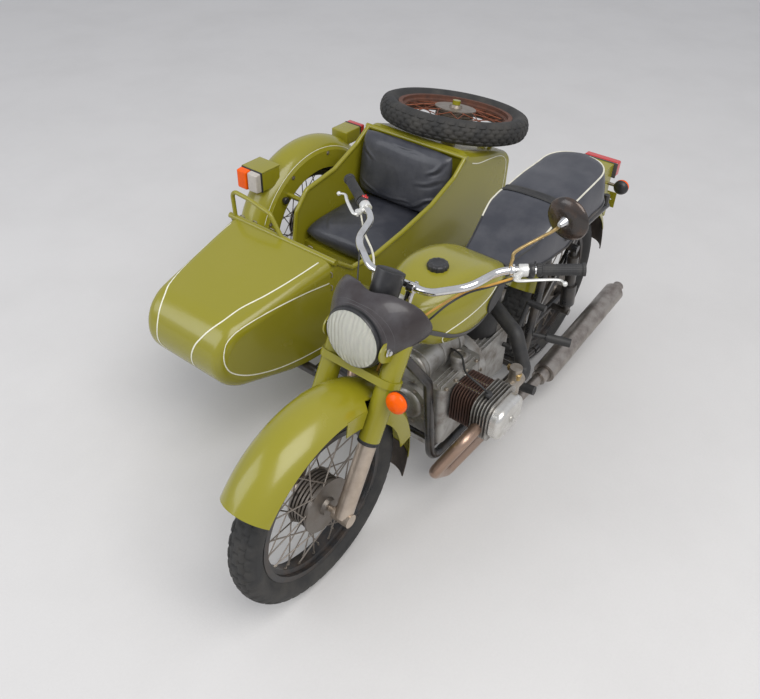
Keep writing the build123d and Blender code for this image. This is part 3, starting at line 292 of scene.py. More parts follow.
def lathe(name, origin, direction, profile, material, sides=40, lobes=0, lobe_depth=0.0):
    """A turned piece: each (distance along the axis, radius) pair of the profile
    becomes a ring round the axis. Lobes make the radius rise and fall round it."""
    origin, direction = np.asarray(origin, float), unit(direction)
    helper = (0, 0, 1.0) if abs(direction[2]) < 0.9 else (1.0, 0, 0)
    normal = unit(np.cross(direction, helper))
    across = np.cross(direction, normal)
    angle = np.linspace(0, tau, sides, endpoint=False)
    ring = normal * np.cos(angle)[:, None] + across * np.sin(angle)[:, None]
    ring = ring * (1 + lobe_depth * np.cos(lobes * angle))[:, None]
    profile = np.asarray(profile, float)
    grid = origin + direction * profile[:, :1, None] + ring[None] * profile[:, 1:, None]
    return face_outwards(grid_piece(name, grid, material, close_columns=True, cap=True))


def turned_many(name, origins, directions, profile, material, sides=8):
    """Many small turned pieces in one mesh, each from the same profile of (distance,
    radius) pairs, at its own place and in its own direction."""
    origins = np.asarray(origins, float)
    directions = unit(np.broadcast_to(np.asarray(directions, float), origins.shape))
    helper = np.where(np.abs(directions[:, 2:]) < 0.9, [[0, 0, 1.0]], [[1.0, 0, 0]])
    normal = unit(np.cross(directions, helper))
    across = np.cross(directions, normal)
    angle = np.linspace(0, tau, sides, endpoint=False)
    ring = (normal[:, None] * np.cos(angle)[None, :, None]
            + across[:, None] * np.sin(angle)[None, :, None])
    profile = np.asarray(profile, float)
    rows = len(profile)
    grid = (origins[:, None, None] + directions[:, None, None] * profile[None, :, :1, None]
            + ring[:, None] * profile[None, :, 1:, None])
    quads = grid_faces(rows, sides, False, True)
    start = np.arange(len(origins))[:, None, None] * rows * sides
    faces = (quads[None] + start).reshape(-1, 4).tolist()
    first = np.arange(sides)[::-1][None] + start[:, 0]
    faces += first.tolist() + (np.arange(sides)[None] + (rows - 1) * sides + start[:, 0]).tolist()
    piece = add_mesh(name, metres(grid.reshape(-1, 3)), faces, material)
    return face_outwards(piece, 30)


def bolts(name, origins, directions, radius, height, material):
    """Six-sided heads on round washers, at many places."""
    heads = [(1.0, radius), (height * 0.82, radius), (height, radius * 0.75)]
    washers = [(-0.5, radius * 1.55), (1.2, radius * 1.55), (1.4, radius * 1.4)]
    return join(name, [
        turned_many(name + "_heads", origins, directions, heads, material, 6),
        turned_many(name + "_washers", origins, directions, washers, material, 16)])


def ribbon(name, points, facing, width, node_name, material, count, proud=0.5, thick=0.6):
    """A flat line laid on a CAD surface. A smooth line through the points is widened
    half a width to each side along tangent x facing, dropped on the surface, and given
    a thickness. Facing is one direction, or one for each point."""
    points = np.asarray(points, float)
    line = smooth_line(points, count)
    facing = np.broadcast_to(np.asarray(facing, float), points.shape)
    facing = unit(smooth_line(facing, count))
    side = unit(np.cross(unit(np.gradient(line, axis=0)), facing))
    offsets = np.linspace(-0.5, 0.5, 5)
    grid = line[:, None] + side[:, None] * offsets[None, :, None] * width
    piece = grid_piece(name, grid, material)
    drop_on(piece, node_name, proud)
    thicken(piece, thick, 0.0)
    return bake(piece)


def rounded_block(name, low, high, corner, material, floor=None, slope=0.0):
    """A block along X whose section is a rectangle with rounded corners. Its ends are
    rounded too, by shrinking the section there. Floor lifts the underside to a surface,
    and slope draws the far end in."""
    low, high = np.asarray(low, float), np.asarray(high, float)
    c, size = (low + high) / 2, (high - low) / 2
    angle = np.linspace(0, pi / 2, 7)
    quarter = np.stack([np.cos(angle), np.sin(angle)], -1)
    turns = [quarter, quarter[::-1] * (-1, 1), quarter * (-1, -1), quarter[::-1] * (1, -1)]
    centres = [(1, 1), (-1, 1), (-1, -1), (1, -1)]
    ring = np.vstack([np.array(k) * (size[1:] - corner) + t * corner for k, t in zip(centres, turns)])
    edge = np.linspace(0, pi / 2, 6)
    ends = corner * (1 - np.sin(edge))
    rise = corner * (1 - np.cos(edge))
    middle = np.linspace(low[0] + corner, high[0] - corner, 14)[1:-1]
    x = np.concatenate([low[0] + rise, middle, high[0] - rise[::-1]])
    inset = np.concatenate([ends, np.zeros(12), ends[::-1]])
    scale = 1 - inset[:, None, None] / size[1:][None, None]
    draw = 1 - slope * np.clip((x - low[0]) / (high[0] - low[0]), 0, 1)[:, None, None]
    yz = ring[None] * scale * draw + c[1:]
    grid = np.concatenate([np.broadcast_to(x[:, None, None], (*yz.shape[:2], 1)), yz], -1)
    if floor is not None:
        grid[..., 2] = np.maximum(grid[..., 2], floor(grid[..., 0], grid[..., 1]))
    return face_outwards(grid_piece(name, grid, material, close_columns=True, cap=True))


def finish(piece, body, slot_name, *nodes):
    """Puts a finished piece on its body and hides the nodes it stands for. The slot name is not used."""
    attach(piece, body)
    if nodes:
        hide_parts(*nodes)
    return piece


# Properties
class SidecarColours(bpy.types.PropertyGroup):
    paint: FloatVectorProperty(
        name="Paint", description="Colour of the painted panels", subtype="COLOR",
        size=3, min=0, max=1, default=(0.25, 0.228, 0.012))
    stripe: FloatVectorProperty(
        name="Stripe", description="Colour of the painted lines", subtype="COLOR",
        size=3, min=0, max=1, default=(0.82, 0.81, 0.66))
    vinyl: FloatVectorProperty(
        name="Vinyl", description="Colour of the seats", subtype="COLOR",
        size=3, min=0, max=1, default=(0.03, 0.032, 0.042))


class SidecarSizes(bpy.types.PropertyGroup):
    tread_depth: FloatProperty(
        name="Tread depth", description="Depth of the grooves in the tyres",
        subtype="DISTANCE", unit="LENGTH", min=0, max=0.015, default=0.006)
    stripe_width: FloatProperty(
        name="Stripe width", description="Width of the painted lines",
        subtype="DISTANCE", unit="LENGTH", min=0.001, max=0.02, default=0.0055)
    piping_radius: FloatProperty(
        name="Piping radius", description="Radius of the saddle's white piping",
        subtype="DISTANCE", unit="LENGTH", min=0.001, max=0.008, default=0.0032)


def colours():
    return bpy.context.scene.sidecar_colours


def sizes():
    return bpy.context.scene.sidecar_sizes


# Materials
def socket(group, name, kind, into, default=None, low=None, high=None):
    made = group.interface.new_socket(
        name=name, in_out="INPUT" if into else "OUTPUT", socket_type="NodeSocket" + kind)
    if default is not None:
        made.default_value = default
    if low is not None:
        made.min_value, made.max_value = low, high
    return made


def node(tree, kind, inputs=None, **settings):
    """A shader node whose inputs are linked to sockets or set to values."""
    made = tree.nodes.new("ShaderNode" + kind)
    for key, value in settings.items():
        setattr(made, key, value)
    for key, value in (inputs or {}).items():
        if isinstance(value, bpy.types.NodeSocket):
            tree.links.new(value, made.inputs[key])
        else:
            made.inputs[key].default_value = value
    return made


def grain_group():
    """Fine grain for any finish: two noises of different sizes vary the colour, the
    roughness and a height, and a large one lays patches of dust or stain."""
    group = bpy.data.node_groups.new("surface_grain", "ShaderNodeTree")
    socket(group, "Color", "Color", True, (0.5, 0.5, 0.5, 1))
    socket(group, "Stain", "Color", True, (0.3, 0.25, 0.2, 1))
    for name, default, high in (
            ("Stain Amount", 0.1, 1), ("Stain Size", 6.0, 500), ("Grain Size", 300.0, 5000),
            ("Grain Amount", 0.05, 1), ("Roughness", 0.4, 1), ("Roughness Change", 0.1, 1)):
        socket(group, name, "Float", True, default, 0, high)
    for name, kind in (("Color", "Color"), ("Roughness", "Float"), ("Height", "Float")):
        socket(group, name, kind, False)
    inputs, outputs = group.nodes.new("NodeGroupInput"), group.nodes.new("NodeGroupOutput")
    place_of = node(group, "TexCoord").outputs["Object"]
    broad = node(group, "TexNoise", {"Vector": place_of, "Scale": inputs.outputs["Stain Size"],
                                     "Detail": 5.0, "Roughness": 0.62})
    fine = node(group, "TexNoise", {"Vector": place_of, "Scale": inputs.outputs["Grain Size"],
                                    "Detail": 3.0, "Roughness": 0.6})
    patch = node(group, "MapRange", {"Value": broad.outputs["Fac"], "From Min": 0.42,
                                     "From Max": 0.7, "To Min": 0.0, "To Max": 1.0})

    def math(operation, first, second, **settings):
        return node(group, "Math", {0: first, 1: second}, operation=operation, **settings).outputs[0]

    amount = math("MULTIPLY", patch.outputs["Result"], inputs.outputs["Stain Amount"])
    stained = node(group, "Mix", {"Factor": amount}, data_type="RGBA")
    group.links.new(inputs.outputs["Color"], stained.inputs[6])
    group.links.new(inputs.outputs["Stain"], stained.inputs[7])
    lift = math("MULTIPLY", math("SUBTRACT", fine.outputs["Fac"], 0.5), inputs.outputs["Grain Amount"])
    toned = node(group, "HueSaturation", {"Value": math("ADD", lift, 1.0), "Color": stained.outputs[2]})
    spread = math("MULTIPLY", math("SUBTRACT", broad.outputs["Fac"], 0.5),
                  inputs.outputs["Roughness Change"])
    total = math("ADD", spread, inputs.outputs["Roughness"], use_clamp=True)
    group.links.new(toned.outputs["Color"], outputs.inputs["Color"])
    group.links.new(total, outputs.inputs["Roughness"])
    group.links.new(fine.outputs["Fac"], outputs.inputs["Height"])
    return group


GRAIN = grain_group()


def finish_material(name, color, roughness, stain, stain_amount, stain_size, grain_size,
                    grain_amount=0.1, rough_change=0.15, bump=0.0002, **shader_values):
    """A Principled shader fed by the grain group."""
    material = bpy.data.materials.new(name)
    material.use_nodes = True
    tree = material.node_tree
    shader = tree.nodes["Principled BSDF"]
    grain = node(tree, "Group", node_tree=GRAIN)
    for key, value in (("Color", (*color, 1)), ("Stain", (*stain, 1)),
                       ("Stain Amount", stain_amount), ("Stain Size", stain_size),
                       ("Grain Size", grain_size), ("Grain Amount", grain_amount),
                       ("Roughness", roughness), ("Roughness Change", rough_change)):
        grain.inputs[key].default_value = value
    bumped = node(tree, "Bump", {"Height": grain.outputs["Height"], "Strength": 1.0,
                                 "Distance": bump})
    tree.links.new(grain.outputs["Color"], shader.inputs["Base Color"])
    tree.links.new(grain.outputs["Roughness"], shader.inputs["Roughness"])
    tree.links.new(bumped.outputs["Normal"], shader.inputs["Normal"])
    for key, value in shader_values.items():
        shader.inputs[key.replace("_", " ")].default_value = value
    return material


def tint_where(material, mask, color):
    """Mixes a second colour into a material's base colour where the mask is 1."""
    tree = material.node_tree
    shader = tree.nodes["Principled BSDF"]
    old = shader.inputs["Base Color"].links[0].from_socket
    mixed = node(tree, "Mix", {"Factor": mask}, data_type="RGBA")
    tree.links.new(old, mixed.inputs[6])
    mixed.inputs[7].default_value = (*color, 1)
    tree.links.new(mixed.outputs[2], shader.inputs["Base Color"])
    return material


def hub_material(name, centre, axis, metal, spokes):
    """Cast hub and wire spokes in one finish: the spokes' colour begins past the hub's
    radius, which is the length of (place - centre) x axle."""
    material = finish_material(
        name, metal, 0.45, stain=(0.16, 0.13, 0.1), stain_amount=0.6, stain_size=20,
        grain_size=420, grain_amount=0.25, rough_change=0.3, bump=0.0003, Metallic=0.85)
    tree = material.node_tree
    hub_reach = 0.0935
    place_of = node(tree, "TexCoord").outputs["Object"]
    away = node(tree, "VectorMath", {0: place_of, 1: tuple(place(*centre))}, operation="SUBTRACT")
    turned = node(tree, "VectorMath", {0: away.outputs[0], 1: tuple(axis)},
                  operation="CROSS_PRODUCT")
    reach = node(tree, "VectorMath", {0: turned.outputs[0]}, operation="LENGTH")
    mask = node(tree, "Math", {0: reach.outputs["Value"], 1: hub_reach}, operation="GREATER_THAN")
    return tint_where(material, mask.outputs[0], spokes)


def vinyl_material(name, color):
    """Vinyl: small rounded cells stand up from a net of creases."""
    material = finish_material(
        name, color, 0.4, stain=(0.1, 0.1, 0.11), stain_amount=0.4, stain_size=9,
        grain_size=700, grain_amount=0.15, rough_change=0.2, Coat_Weight=0.25)
    tree = material.node_tree
    shader = tree.nodes["Principled BSDF"]
    place_of = node(tree, "TexCoord").outputs["Object"]
    cells = node(tree, "TexVoronoi", {"Vector": place_of, "Scale": 520.0}, feature="F1")
    old = shader.inputs["Normal"].links[0].from_socket
    pebbles = node(tree, "Bump", {"Height": cells.outputs["Distance"], "Strength": 0.5,
                                  "Distance": 0.0005, "Normal": old}, invert=True)
    tree.links.new(pebbles.outputs["Normal"], shader.inputs["Normal"])
    return material


def glass_material():
    """Pressed glass, only partly clear, with the upright flutes of a headlamp on its face. Its pale base
    colour is painted brightness that stands in for the lit reflector seen through it.
    """
    material = bpy.data.materials.new("fluted_lamp_glass")
    material.use_nodes = True
    tree = material.node_tree
    shader = tree.nodes["Principled BSDF"]
    # Painted brightness: the pale base colour and the partial transmission stand in for the lit reflector
    # seen through the glass.
    for key, value in (("Base Color", (0.93, 0.93, 0.84, 1)), ("Transmission Weight", 0.6),
                       ("Roughness", 0.05), ("IOR", 1.25)):
        shader.inputs[key].default_value = value
    place_of = node(tree, "TexCoord").outputs["Object"]
    flutes = node(tree, "TexWave", {"Vector": place_of, "Scale": 22.0, "Distortion": 3.5,
                                    "Detail": 1.0}, wave_type="BANDS", bands_direction="Y")
    bump = node(tree, "Bump", {"Height": flutes.outputs["Fac"], "Strength": 0.8,
                               "Distance": 0.003})
    tree.links.new(bump.outputs["Normal"], shader.inputs["Normal"])
    return material


def exhaust_material():
    """Steel that is burnt brown near the engine and grey further back."""
    material = finish_material(
        "heated_steel", (0.36, 0.33, 0.3), 0.36, stain=(0.12, 0.09, 0.08), stain_amount=0.7,
        stain_size=16, grain_size=400, rough_change=0.35, Metallic=0.9)
    tree = material.node_tree
    place_of = node(tree, "TexCoord").outputs["Object"]
    forward = node(tree, "SeparateXYZ", {0: place_of}).outputs["X"]
    mask = node(tree, "MapRange", {"Value": forward, "From Min": place(560, 0, 0).x,
                                   "From Max": place(860, 0, 0).x, "To Min": 0.0, "To Max": 0.85})
    return tint_where(material, mask.outputs["Result"], (0.4, 0.27, 0.2))


MATERIALS = {}
# Columns: material, colour (None where a property holds it), roughness, stain colour,
# amount and size, grain size, and other settings
FINISHES = {
    "floor": ("pale_floor", (0.62, 0.61, 0.6), 0.85, (0.55, 0.54, 0.53), 0.4, 1.5, 120,
              dict(grain_amount=0.06, bump=0.0004)),
    "paint": ("olive_gloss_paint", None, 0.25, (0.29, 0.25, 0.04), 0.2, 4, 900,
              dict(grain_amount=0.08, rough_change=0.2, bump=0.00003, Coat_Weight=0.2,
                   Coat_Roughness=0.06)),
    "black": ("black_frame_enamel", (0.012, 0.012, 0.013), 0.3, (0.09, 0.07, 0.05), 0.5, 14, 600,
              dict(rough_change=0.3, Coat_Weight=0.3)),
    "rim": ("black_rim_enamel", (0.014, 0.014, 0.015), 0.32, (0.09, 0.06, 0.04), 0.45, 22, 500,
            dict(rough_change=0.3)),
    "rusty_rim": ("rusty_rim", (0.12, 0.045, 0.025), 0.7, (0.03, 0.022, 0.02), 0.6, 30, 420,
                  dict(grain_amount=0.4, bump=0.0005)),
    "tyre": ("tyre_rubber", (0.022, 0.022, 0.022), 0.78, (0.11, 0.1, 0.085), 0.35, 9, 900,
             dict(grain_amount=0.3, bump=0.0003)),
    "rubber": ("black_rubber", (0.02, 0.02, 0.021), 0.55, (0.08, 0.075, 0.065), 0.3, 20, 800,
               dict(grain_amount=0.2)),
    "grey_rubber": ("greyed_rubber", (0.06, 0.06, 0.062), 0.5, (0.14, 0.13, 0.12), 0.4, 20, 700,
                    dict(grain_amount=0.2)),
    "flap": ("worn_flap_rubber", (0.045, 0.034, 0.026), 0.7, (0.12, 0.1, 0.08), 0.5, 24, 500,
             dict(grain_amount=0.3, bump=0.0004)),
    "chrome": ("bright_chrome", (0.74, 0.74, 0.74), 0.12, (0.35, 0.3, 0.24), 0.3, 30, 500,
               dict(rough_change=0.2, bump=0.00002, Metallic=1.0)),
    "aluminium": ("cast_aluminium", (0.44, 0.43, 0.41), 0.5, (0.15, 0.12, 0.09), 0.75, 18, 420,
                  dict(grain_amount=0.25, rough_change=0.3, bump=0.0004, Metallic=0.85)),
    "polished": ("polished_aluminium", (0.7, 0.69, 0.66), 0.3, (0.35, 0.31, 0.25), 0.4, 26, 380,
                 dict(rough_change=0.3, bump=0.0001, Metallic=0.9)),
    "lever": ("cast_lever_aluminium", (0.72, 0.72, 0.7), 0.42, (0.4, 0.38, 0.33), 0.3, 40, 500,
              dict(rough_change=0.2, Metallic=0.55)),
    "iron": ("barrel_iron", (0.085, 0.05, 0.04), 0.66, (0.15, 0.07, 0.045), 0.6, 30, 500,
             dict(grain_amount=0.4, bump=0.0004, Metallic=0.4)),
    "plated": ("plated_steel", (0.4, 0.36, 0.31), 0.38, (0.14, 0.1, 0.07), 0.6, 20, 400,
               dict(rough_change=0.3, Metallic=0.85)),
    "fork_steel": ("tarnished_fork_steel", (0.52, 0.44, 0.36), 0.34, (0.2, 0.14, 0.1), 0.4, 16, 400,
                   dict(rough_change=0.3, Metallic=0.8)),
    "brass": ("worn_brass", (0.5, 0.36, 0.16), 0.36, (0.2, 0.13, 0.06), 0.5, 40, 400,
              dict(Metallic=0.9)),
    "plastic": ("black_moulded_plastic", (0.018, 0.018, 0.02), 0.36, (0.07, 0.065, 0.06), 0.25, 30,
                1200, dict(grain_amount=0.2, bump=0.0001)),
    "piping": ("white_piping", (0.68, 0.66, 0.56), 0.5, (0.3, 0.27, 0.2), 0.35, 30, 900, {}),
    "stripe": ("white_line_paint", None, 0.3, (0.4, 0.38, 0.2), 0.3, 30, 900,
               dict(Coat_Weight=0.3)),
    "red": ("red_lamp_plastic", (0.5, 0.012, 0.01), 0.16, (0.3, 0.01, 0.01), 0.3, 60, 300,
            dict(Coat_Weight=0.6)),
    "orange": ("orange_lamp_plastic", (0.86, 0.11, 0.0), 0.25, (0.6, 0.06, 0.0), 0.3, 60, 300,
               dict(Specular_IOR_Level=0.25)),
    "clear": ("clear_lamp_plastic", (0.5, 0.46, 0.41), 0.16, (0.35, 0.32, 0.28), 0.4, 60, 300,
              dict(Coat_Weight=0.6)),
    "reflector": ("lamp_reflector", (0.86, 0.85, 0.8), 0.2, (0.6, 0.57, 0.48), 0.3, 40, 200,
                  dict(Metallic=0.9)),
    "cable_yellow": ("yellow_cable_sleeve", (0.56, 0.3, 0.05), 0.45, (0.3, 0.18, 0.05), 0.4, 40,
                     300, {}),
    "mirror": ("mirror_glass", (0.75, 0.76, 0.76), 0.04, (0.3, 0.25, 0.2), 0.02, 6, 300,
               dict(rough_change=0.02, bump=0.0, Metallic=1.0)),
    "mirror_back": ("smoked_mirror_back", (0.045, 0.038, 0.035), 0.25, (0.14, 0.07, 0.035), 0.5,
                    18, 500, dict(Metallic=0.5, Coat_Weight=0.4)),
    "dial": ("pale_dial", (0.6, 0.6, 0.55), 0.4, (0.3, 0.28, 0.2), 0.3, 60, 300, {}),
}
NODE_MATERIALS = {
    "paint": ("fuel_tank", "rear_mudguard", "fork_yokes", "fork_covers", "front_mudguard",
              "sidecar_body", "boot_lid", "grab_rail", "sidecar_mudguard"),
    "black": ("main_frame", "swinging_arm", "rear_shock_absorbers", "sidecar_frame",
              "sidecar_swing_arm", "centre_stand", "headlamp_shell", "final_drive"),
    "rim": ("front_rim", "rear_rim", "sidecar_rim"),
    "rusty_rim": ("spare_rim",),
    "front_hub": ("front_hub",),
    "rear_hub": ("rear_hub",),
    "sidecar_hub": ("sidecar_hub",),
    "spare_hub": ("spare_hub",),
    "aluminium": ("crankcase", "gearbox", "cylinder_heads"),
    "polished": ("rocker_covers",),
    "lever": ("control_levers",),
    "iron": ("cylinder_barrels",),
    "chrome": ("pushrod_tubes", "handlebar", "rear_view_mirror"),
    "plated": ("carburettors",),
    "fork_steel": ("fork_legs",),
    "heated": ("exhaust_system",),
    "rubber": ("air_cleaner", "foot_controls", "handlebar_grips"),
    "flap": ("front_mud_flap", "rear_mud_flap"),
    "plastic": ("filler_cap", "instrument_pod"),
    "glass": ("headlamp_lens",),
    "red": ("tail_lamp",),
    "orange": ("rear_indicator", "front_indicator", "sidecar_lamps"),
    "vinyl": ("saddle", "sidecar_cushion", "sidecar_backrest"),
    "tyre": ("front_tyre", "rear_tyre", "sidecar_tyre", "spare_tyre"),
}


def make_materials():
    for key, (name, color, *rest, others) in FINISHES.items():
        color = color or tuple(getattr(colours(), key))
        MATERIALS[key] = finish_material(name, color, *rest, **others)
    MATERIALS["heated"] = exhaust_material()
    MATERIALS["glass"] = glass_material()
    MATERIALS["vinyl"] = vinyl_material("black_seat_vinyl", tuple(colours().vinyl))
    MATERIALS["lamp_vinyl"] = vinyl_material("brown_lamp_cover_vinyl", (0.022, 0.015, 0.0155))
    for name, centre in WHEEL_MIDDLES.items():
        MATERIALS[name + "_hub"] = hub_material(
            name + "_hub_metal", centre, (0, 1, 0), (0.2, 0.18, 0.16), (0.26, 0.23, 0.2))
    MATERIALS["spare_hub"] = hub_material(
        "spare_hub_metal", SPARE_MIDDLE, SPARE_AXLE, (0.3, 0.26, 0.22), (0.26, 0.09, 0.05))


class SIDECAR_OT_finishes(bpy.types.Operator):
    """Gives every part of the frame its finish"""
    bl_idname = "sidecar.finishes"
    bl_label = "Finishes"

    def execute(self, context):
        make_materials()
        for key, names in NODE_MATERIALS.items():
            for name in names:
                mesh = NODES[name].data
                mesh.materials.clear()
                mesh.materials.append(MATERIALS[key])
        return {"FINISHED"}


# Stage
CAMERA_PLACE = (2457.38, 955.24, 2057.26)
CAMERA_RIGHT = (-0.61089, 0.79129, 0.02593)
CAMERA_FORWARD = (-0.62229, -0.45966, -0.63362)
CAMERA_LENS = 34.40
CAMERA_SHIFT = -0.0033
FLOOR_REACH = 60
PANELS = (  # name, place in metres, size, watts, colour
    ("sky_panel", (1.5, 3.5, 6.0), 5.0, 330.0, (1.0, 0.98, 0.95)),
    ("side_panel", (4.5, -3.0, 3.4), 3.5, 90.0, (0.95, 0.97, 1.0)))


class SIDECAR_OT_stage(bpy.types.Operator):
    """Sets the floor, the lights and the camera"""
    bl_idname = "sidecar.stage"
    bl_label = "Stage"

    def execute(self, context):
        scene = context.scene
        corners = [(x * FLOOR_REACH, y * FLOOR_REACH, 0) for x, y in ((-1, -1), (1, -1), (1, 1), (-1, 1))]
        add_mesh("floor", corners, [(0, 1, 2, 3)], "floor", smooth=False)
        world = bpy.data.worlds.new("soft_sky")
        scene.world = world
        world.use_nodes = True
        background = world.node_tree.nodes["Background"]
        background.inputs["Color"].default_value = (0.92, 0.94, 1.0, 1)
        background.inputs["Strength"].default_value = 0.66
        for name, spot, size, power, colour in PANELS:
            lamp = bpy.data.lights.new(name, "AREA")
            lamp.energy, lamp.size, lamp.color = power, size, colour
            made = bpy.data.objects.new(name, lamp)
            made.location = spot
            aim = Vector((0, 0, 0.4)) - Vector(spot)
            made.rotation_euler = aim.to_track_quat("-Z", "Y").to_euler()
            scene.collection.objects.link(made)
        lens = bpy.data.cameras.new("photo_camera")
        lens.lens, lens.sensor_width, lens.shift_y = CAMERA_LENS, 36.0, CAMERA_SHIFT
        camera = bpy.data.objects.new("photo_camera", lens)
        right, forward = Vector(CAMERA_RIGHT), Vector(CAMERA_FORWARD)
        up = right.cross(forward)
        turn = Matrix((right, up, -forward)).transposed().to_4x4()
        camera.matrix_world = Matrix.Translation(place(*CAMERA_PLACE)) @ turn
        scene.collection.objects.link(camera)
        scene.camera = camera
        scene.view_settings.view_transform = "Standard"
        return {"FINISHED"}


# Wheels
TREAD_PITCHES = 46
CROWN_HALF_WIDTH = 46.0
MIDDLE_ROW_EDGE, SHOULDER_EDGE = 0.2, 0.56  # as shares of the crown's half width
SPOKES_PER_SIDE = 20
NIPPLE_ENDS = ((219, 7.5), (229.5, 6))  # radius and distance from the wheel's middle
TYRE_PROFILE = (  # half width and radius, from the bead to the crown
    (28.7, 241.6), (28.7, 252), (31, 260), (40, 270), (47.5, 281), (49.6, 291),
    (48.5, 301), (45.5, 310), (42.5, 317.5), (38.5, 322.5), (32, 327), (24, 330.6),
    (14, 333.3), (5, 334.6), (0, 334.8))


def tread_height(angle, across):
    """How far the rubber stands above the groove floor, from 0 to 1. Rows of blocks lie
    side by side: a middle row, one beside it on each side set half a block round, and
    shoulder blocks that run down the sides. Soft steps part them."""
    turn = angle * TREAD_PITCHES / tau
    row = np.abs(across)
    shift = np.where((row >= MIDDLE_ROW_EDGE) & (row < SHOULDER_EDGE), 0.5, 0.0)
    cell = (turn + shift + 0.22 * across * np.sign(across)) % 1.0
    gap = np.where(row < SHOULDER_EDGE, 0.2, 0.32)
    block = 1 / (1 + np.exp((np.abs(cell - 0.5) - (0.5 - gap / 2)) * 60))
    seam = 1 / (1 + np.exp((0.035 - np.abs(row - MIDDLE_ROW_EDGE)) * 200))
    seam = seam * (1 / (1 + np.exp((0.04 - np.abs(row - SHOULDER_EDGE)) * 200)))
    return block * seam


def tyre_grid():
    """A tyre round the Y axis. The profile runs from one bead over the crown to the
    other: a neck, then a bulging flank, then the crown. The tread stands out of it."""
    depth = sizes().tread_depth * 1000
    knots = np.array(TYRE_PROFILE)
    half = smooth_line(np.hstack([knots, np.zeros((len(knots), 1))]), 34)[:, :2]
    profile = np.vstack([half, half[::-1][1:] * (-1, 1)])
    angle = np.linspace(0, tau, 16 * TREAD_PITCHES, endpoint=False)
    y, r = profile[:, 0][None], profile[:, 1][None]
    across = np.clip(y / CROWN_HALF_WIDTH, -1, 1) * np.ones((len(angle), 1))
    on_tread = 1 / (1 + np.exp((312 - r) / 2.2))
    ring_bead = 1.1 * np.exp(-((r - 268) / 1.6) ** 2) + 0.8 * np.exp(-((r - 300) / 1.2) ** 2)
    radius = r - depth * on_tread * (1 - tread_height(angle[:, None], across))
    side = np.sign(y) * ring_bead
    return np.stack([radius * np.cos(angle)[:, None], y + side + 0 * radius,
                     radius * np.sin(angle)[:, None]], -1)


def lay_spare(points):
    """Turns a wheel that stands on the ground into the spare that lies on the lid."""
    x, y, z = points[..., 0], points[..., 1], points[..., 2]
    flat = np.stack([x, -z, y], -1)
    c, s = cos(SPARE_TILT), sin(SPARE_TILT)
    tilted = np.stack([flat[..., 0] * c - flat[..., 2] * s, flat[..., 1],
                       flat[..., 0] * s + flat[..., 2] * c], -1)
    return tilted + np.array(SPARE_MIDDLE)


def put_on(wheel, points):
    return lay_spare(points) if wheel == "spare" else points + np.array(WHEEL_MIDDLES[wheel])


class SIDECAR_OT_tyres(bpy.types.Operator):
    """Cuts the tread of the four tyres and sets the spoke nipples in the rims"""
    bl_idname = "sidecar.tyres"
    bl_label = "Tyres"

    def execute(self, context):
        grid = tyre_grid()
        pitch = radians(360 / SPOKES_PER_SIDE)
        turn = np.repeat(np.arange(SPOKES_PER_SIDE), 2) * pitch
        side = np.tile([1.0, -1.0], SPOKES_PER_SIDE)
        angle = turn + np.where(side > 0, pitch / 2, 0)
        feet, heads = (np.stack([radius * np.cos(angle), side * off, radius * np.sin(angle)], -1)
                       for radius, off in NIPPLE_ENDS)
        for wheel, body in WHEEL_BODIES:
            tyre = grid_piece(wheel + "_tread_tyre", put_on(wheel, grid), "tyre",
                              close_rows=True, close_columns=True)
            finish(face_outwards(tyre, 60), body, "tyre_rubber", wheel + "_tyre")
            start, end = put_on(wheel, feet), put_on(wheel, heads)
            metal = "rusty_rim" if wheel == "spare" else "plated"
            nipples = turned_many(wheel + "_spoke_nipples", start, end - start,
                                  [(0, 3.0), (7, 3.2), (7.5, 4.2), (10.8, 4.2)], metal, 8)
            finish(nipples, body, "plated_steel")
        return {"FINISHED"}


# Saddle
SADDLE_LINE = (  # x, half width and height of the piping, half width and height of the base
    (597, 70, 742, 66, 730), (592, 76, 753, 70, 724), (583, 81, 761, 76, 718),
    (569, 85, 765, 82, 714), (520, 95, 776, 96, 705), (451, 113, 794, 118, 700),
    (375, 125, 834, 134, 700), (330, 127, 845, 138, 700), (287, 127, 852, 142, 700),
    (246, 126, 854, 144, 704), (140, 125, 864, 147, 740), (75, 123, 867, 147, 752),
    (17, 121, 870, 147, 752))
SADDLE_BEND = 17.0
SADDLE_NOSE = 597.0
EDGE_REACH, BASE_REACH = 124, 134  # how far the edge and the base go behind the bend
SADDLE_POWER = 2.4
STRAP_MIDDLE = 266.0
STRAP_WIDTH = 40.0


def saddle_rows():
    """The saddle from front to rear: x, half width and height of the upper edge, and
    the same of the lower edge. Behind the bend the plan is a superellipse, |x/a|^2.4 +
    |y/w|^2.4 = 1. The last column is the plan angle there."""
    x = SADDLE_NOSE - (SADDLE_NOSE - SADDLE_BEND) * np.linspace(0, 1, 110) ** 1.35
    knots = np.array(SADDLE_LINE, float) * (-1, 1, 1, 1, 1)
    half, high, low_half, low = smooth_values(knots, -x)
    angle = np.radians(np.linspace(0, 90, 44))[1:]
    c, s = np.cos(angle) ** (2 / SADDLE_POWER), np.sin(angle) ** (2 / SADDLE_POWER)
    bend_half, bend_high, bend_low_half, bend_low = SADDLE_LINE[-1][1:]
    rear = np.stack([SADDLE_BEND - EDGE_REACH * s, bend_half * c, bend_high + 14 * s,
                     SADDLE_BEND - BASE_REACH * s, bend_low_half * c, bend_low + 10 * s, angle], -1)
    front = np.stack([x, half, high, x, low_half, low, 0 * x], -1)
    return np.vstack([front, rear])


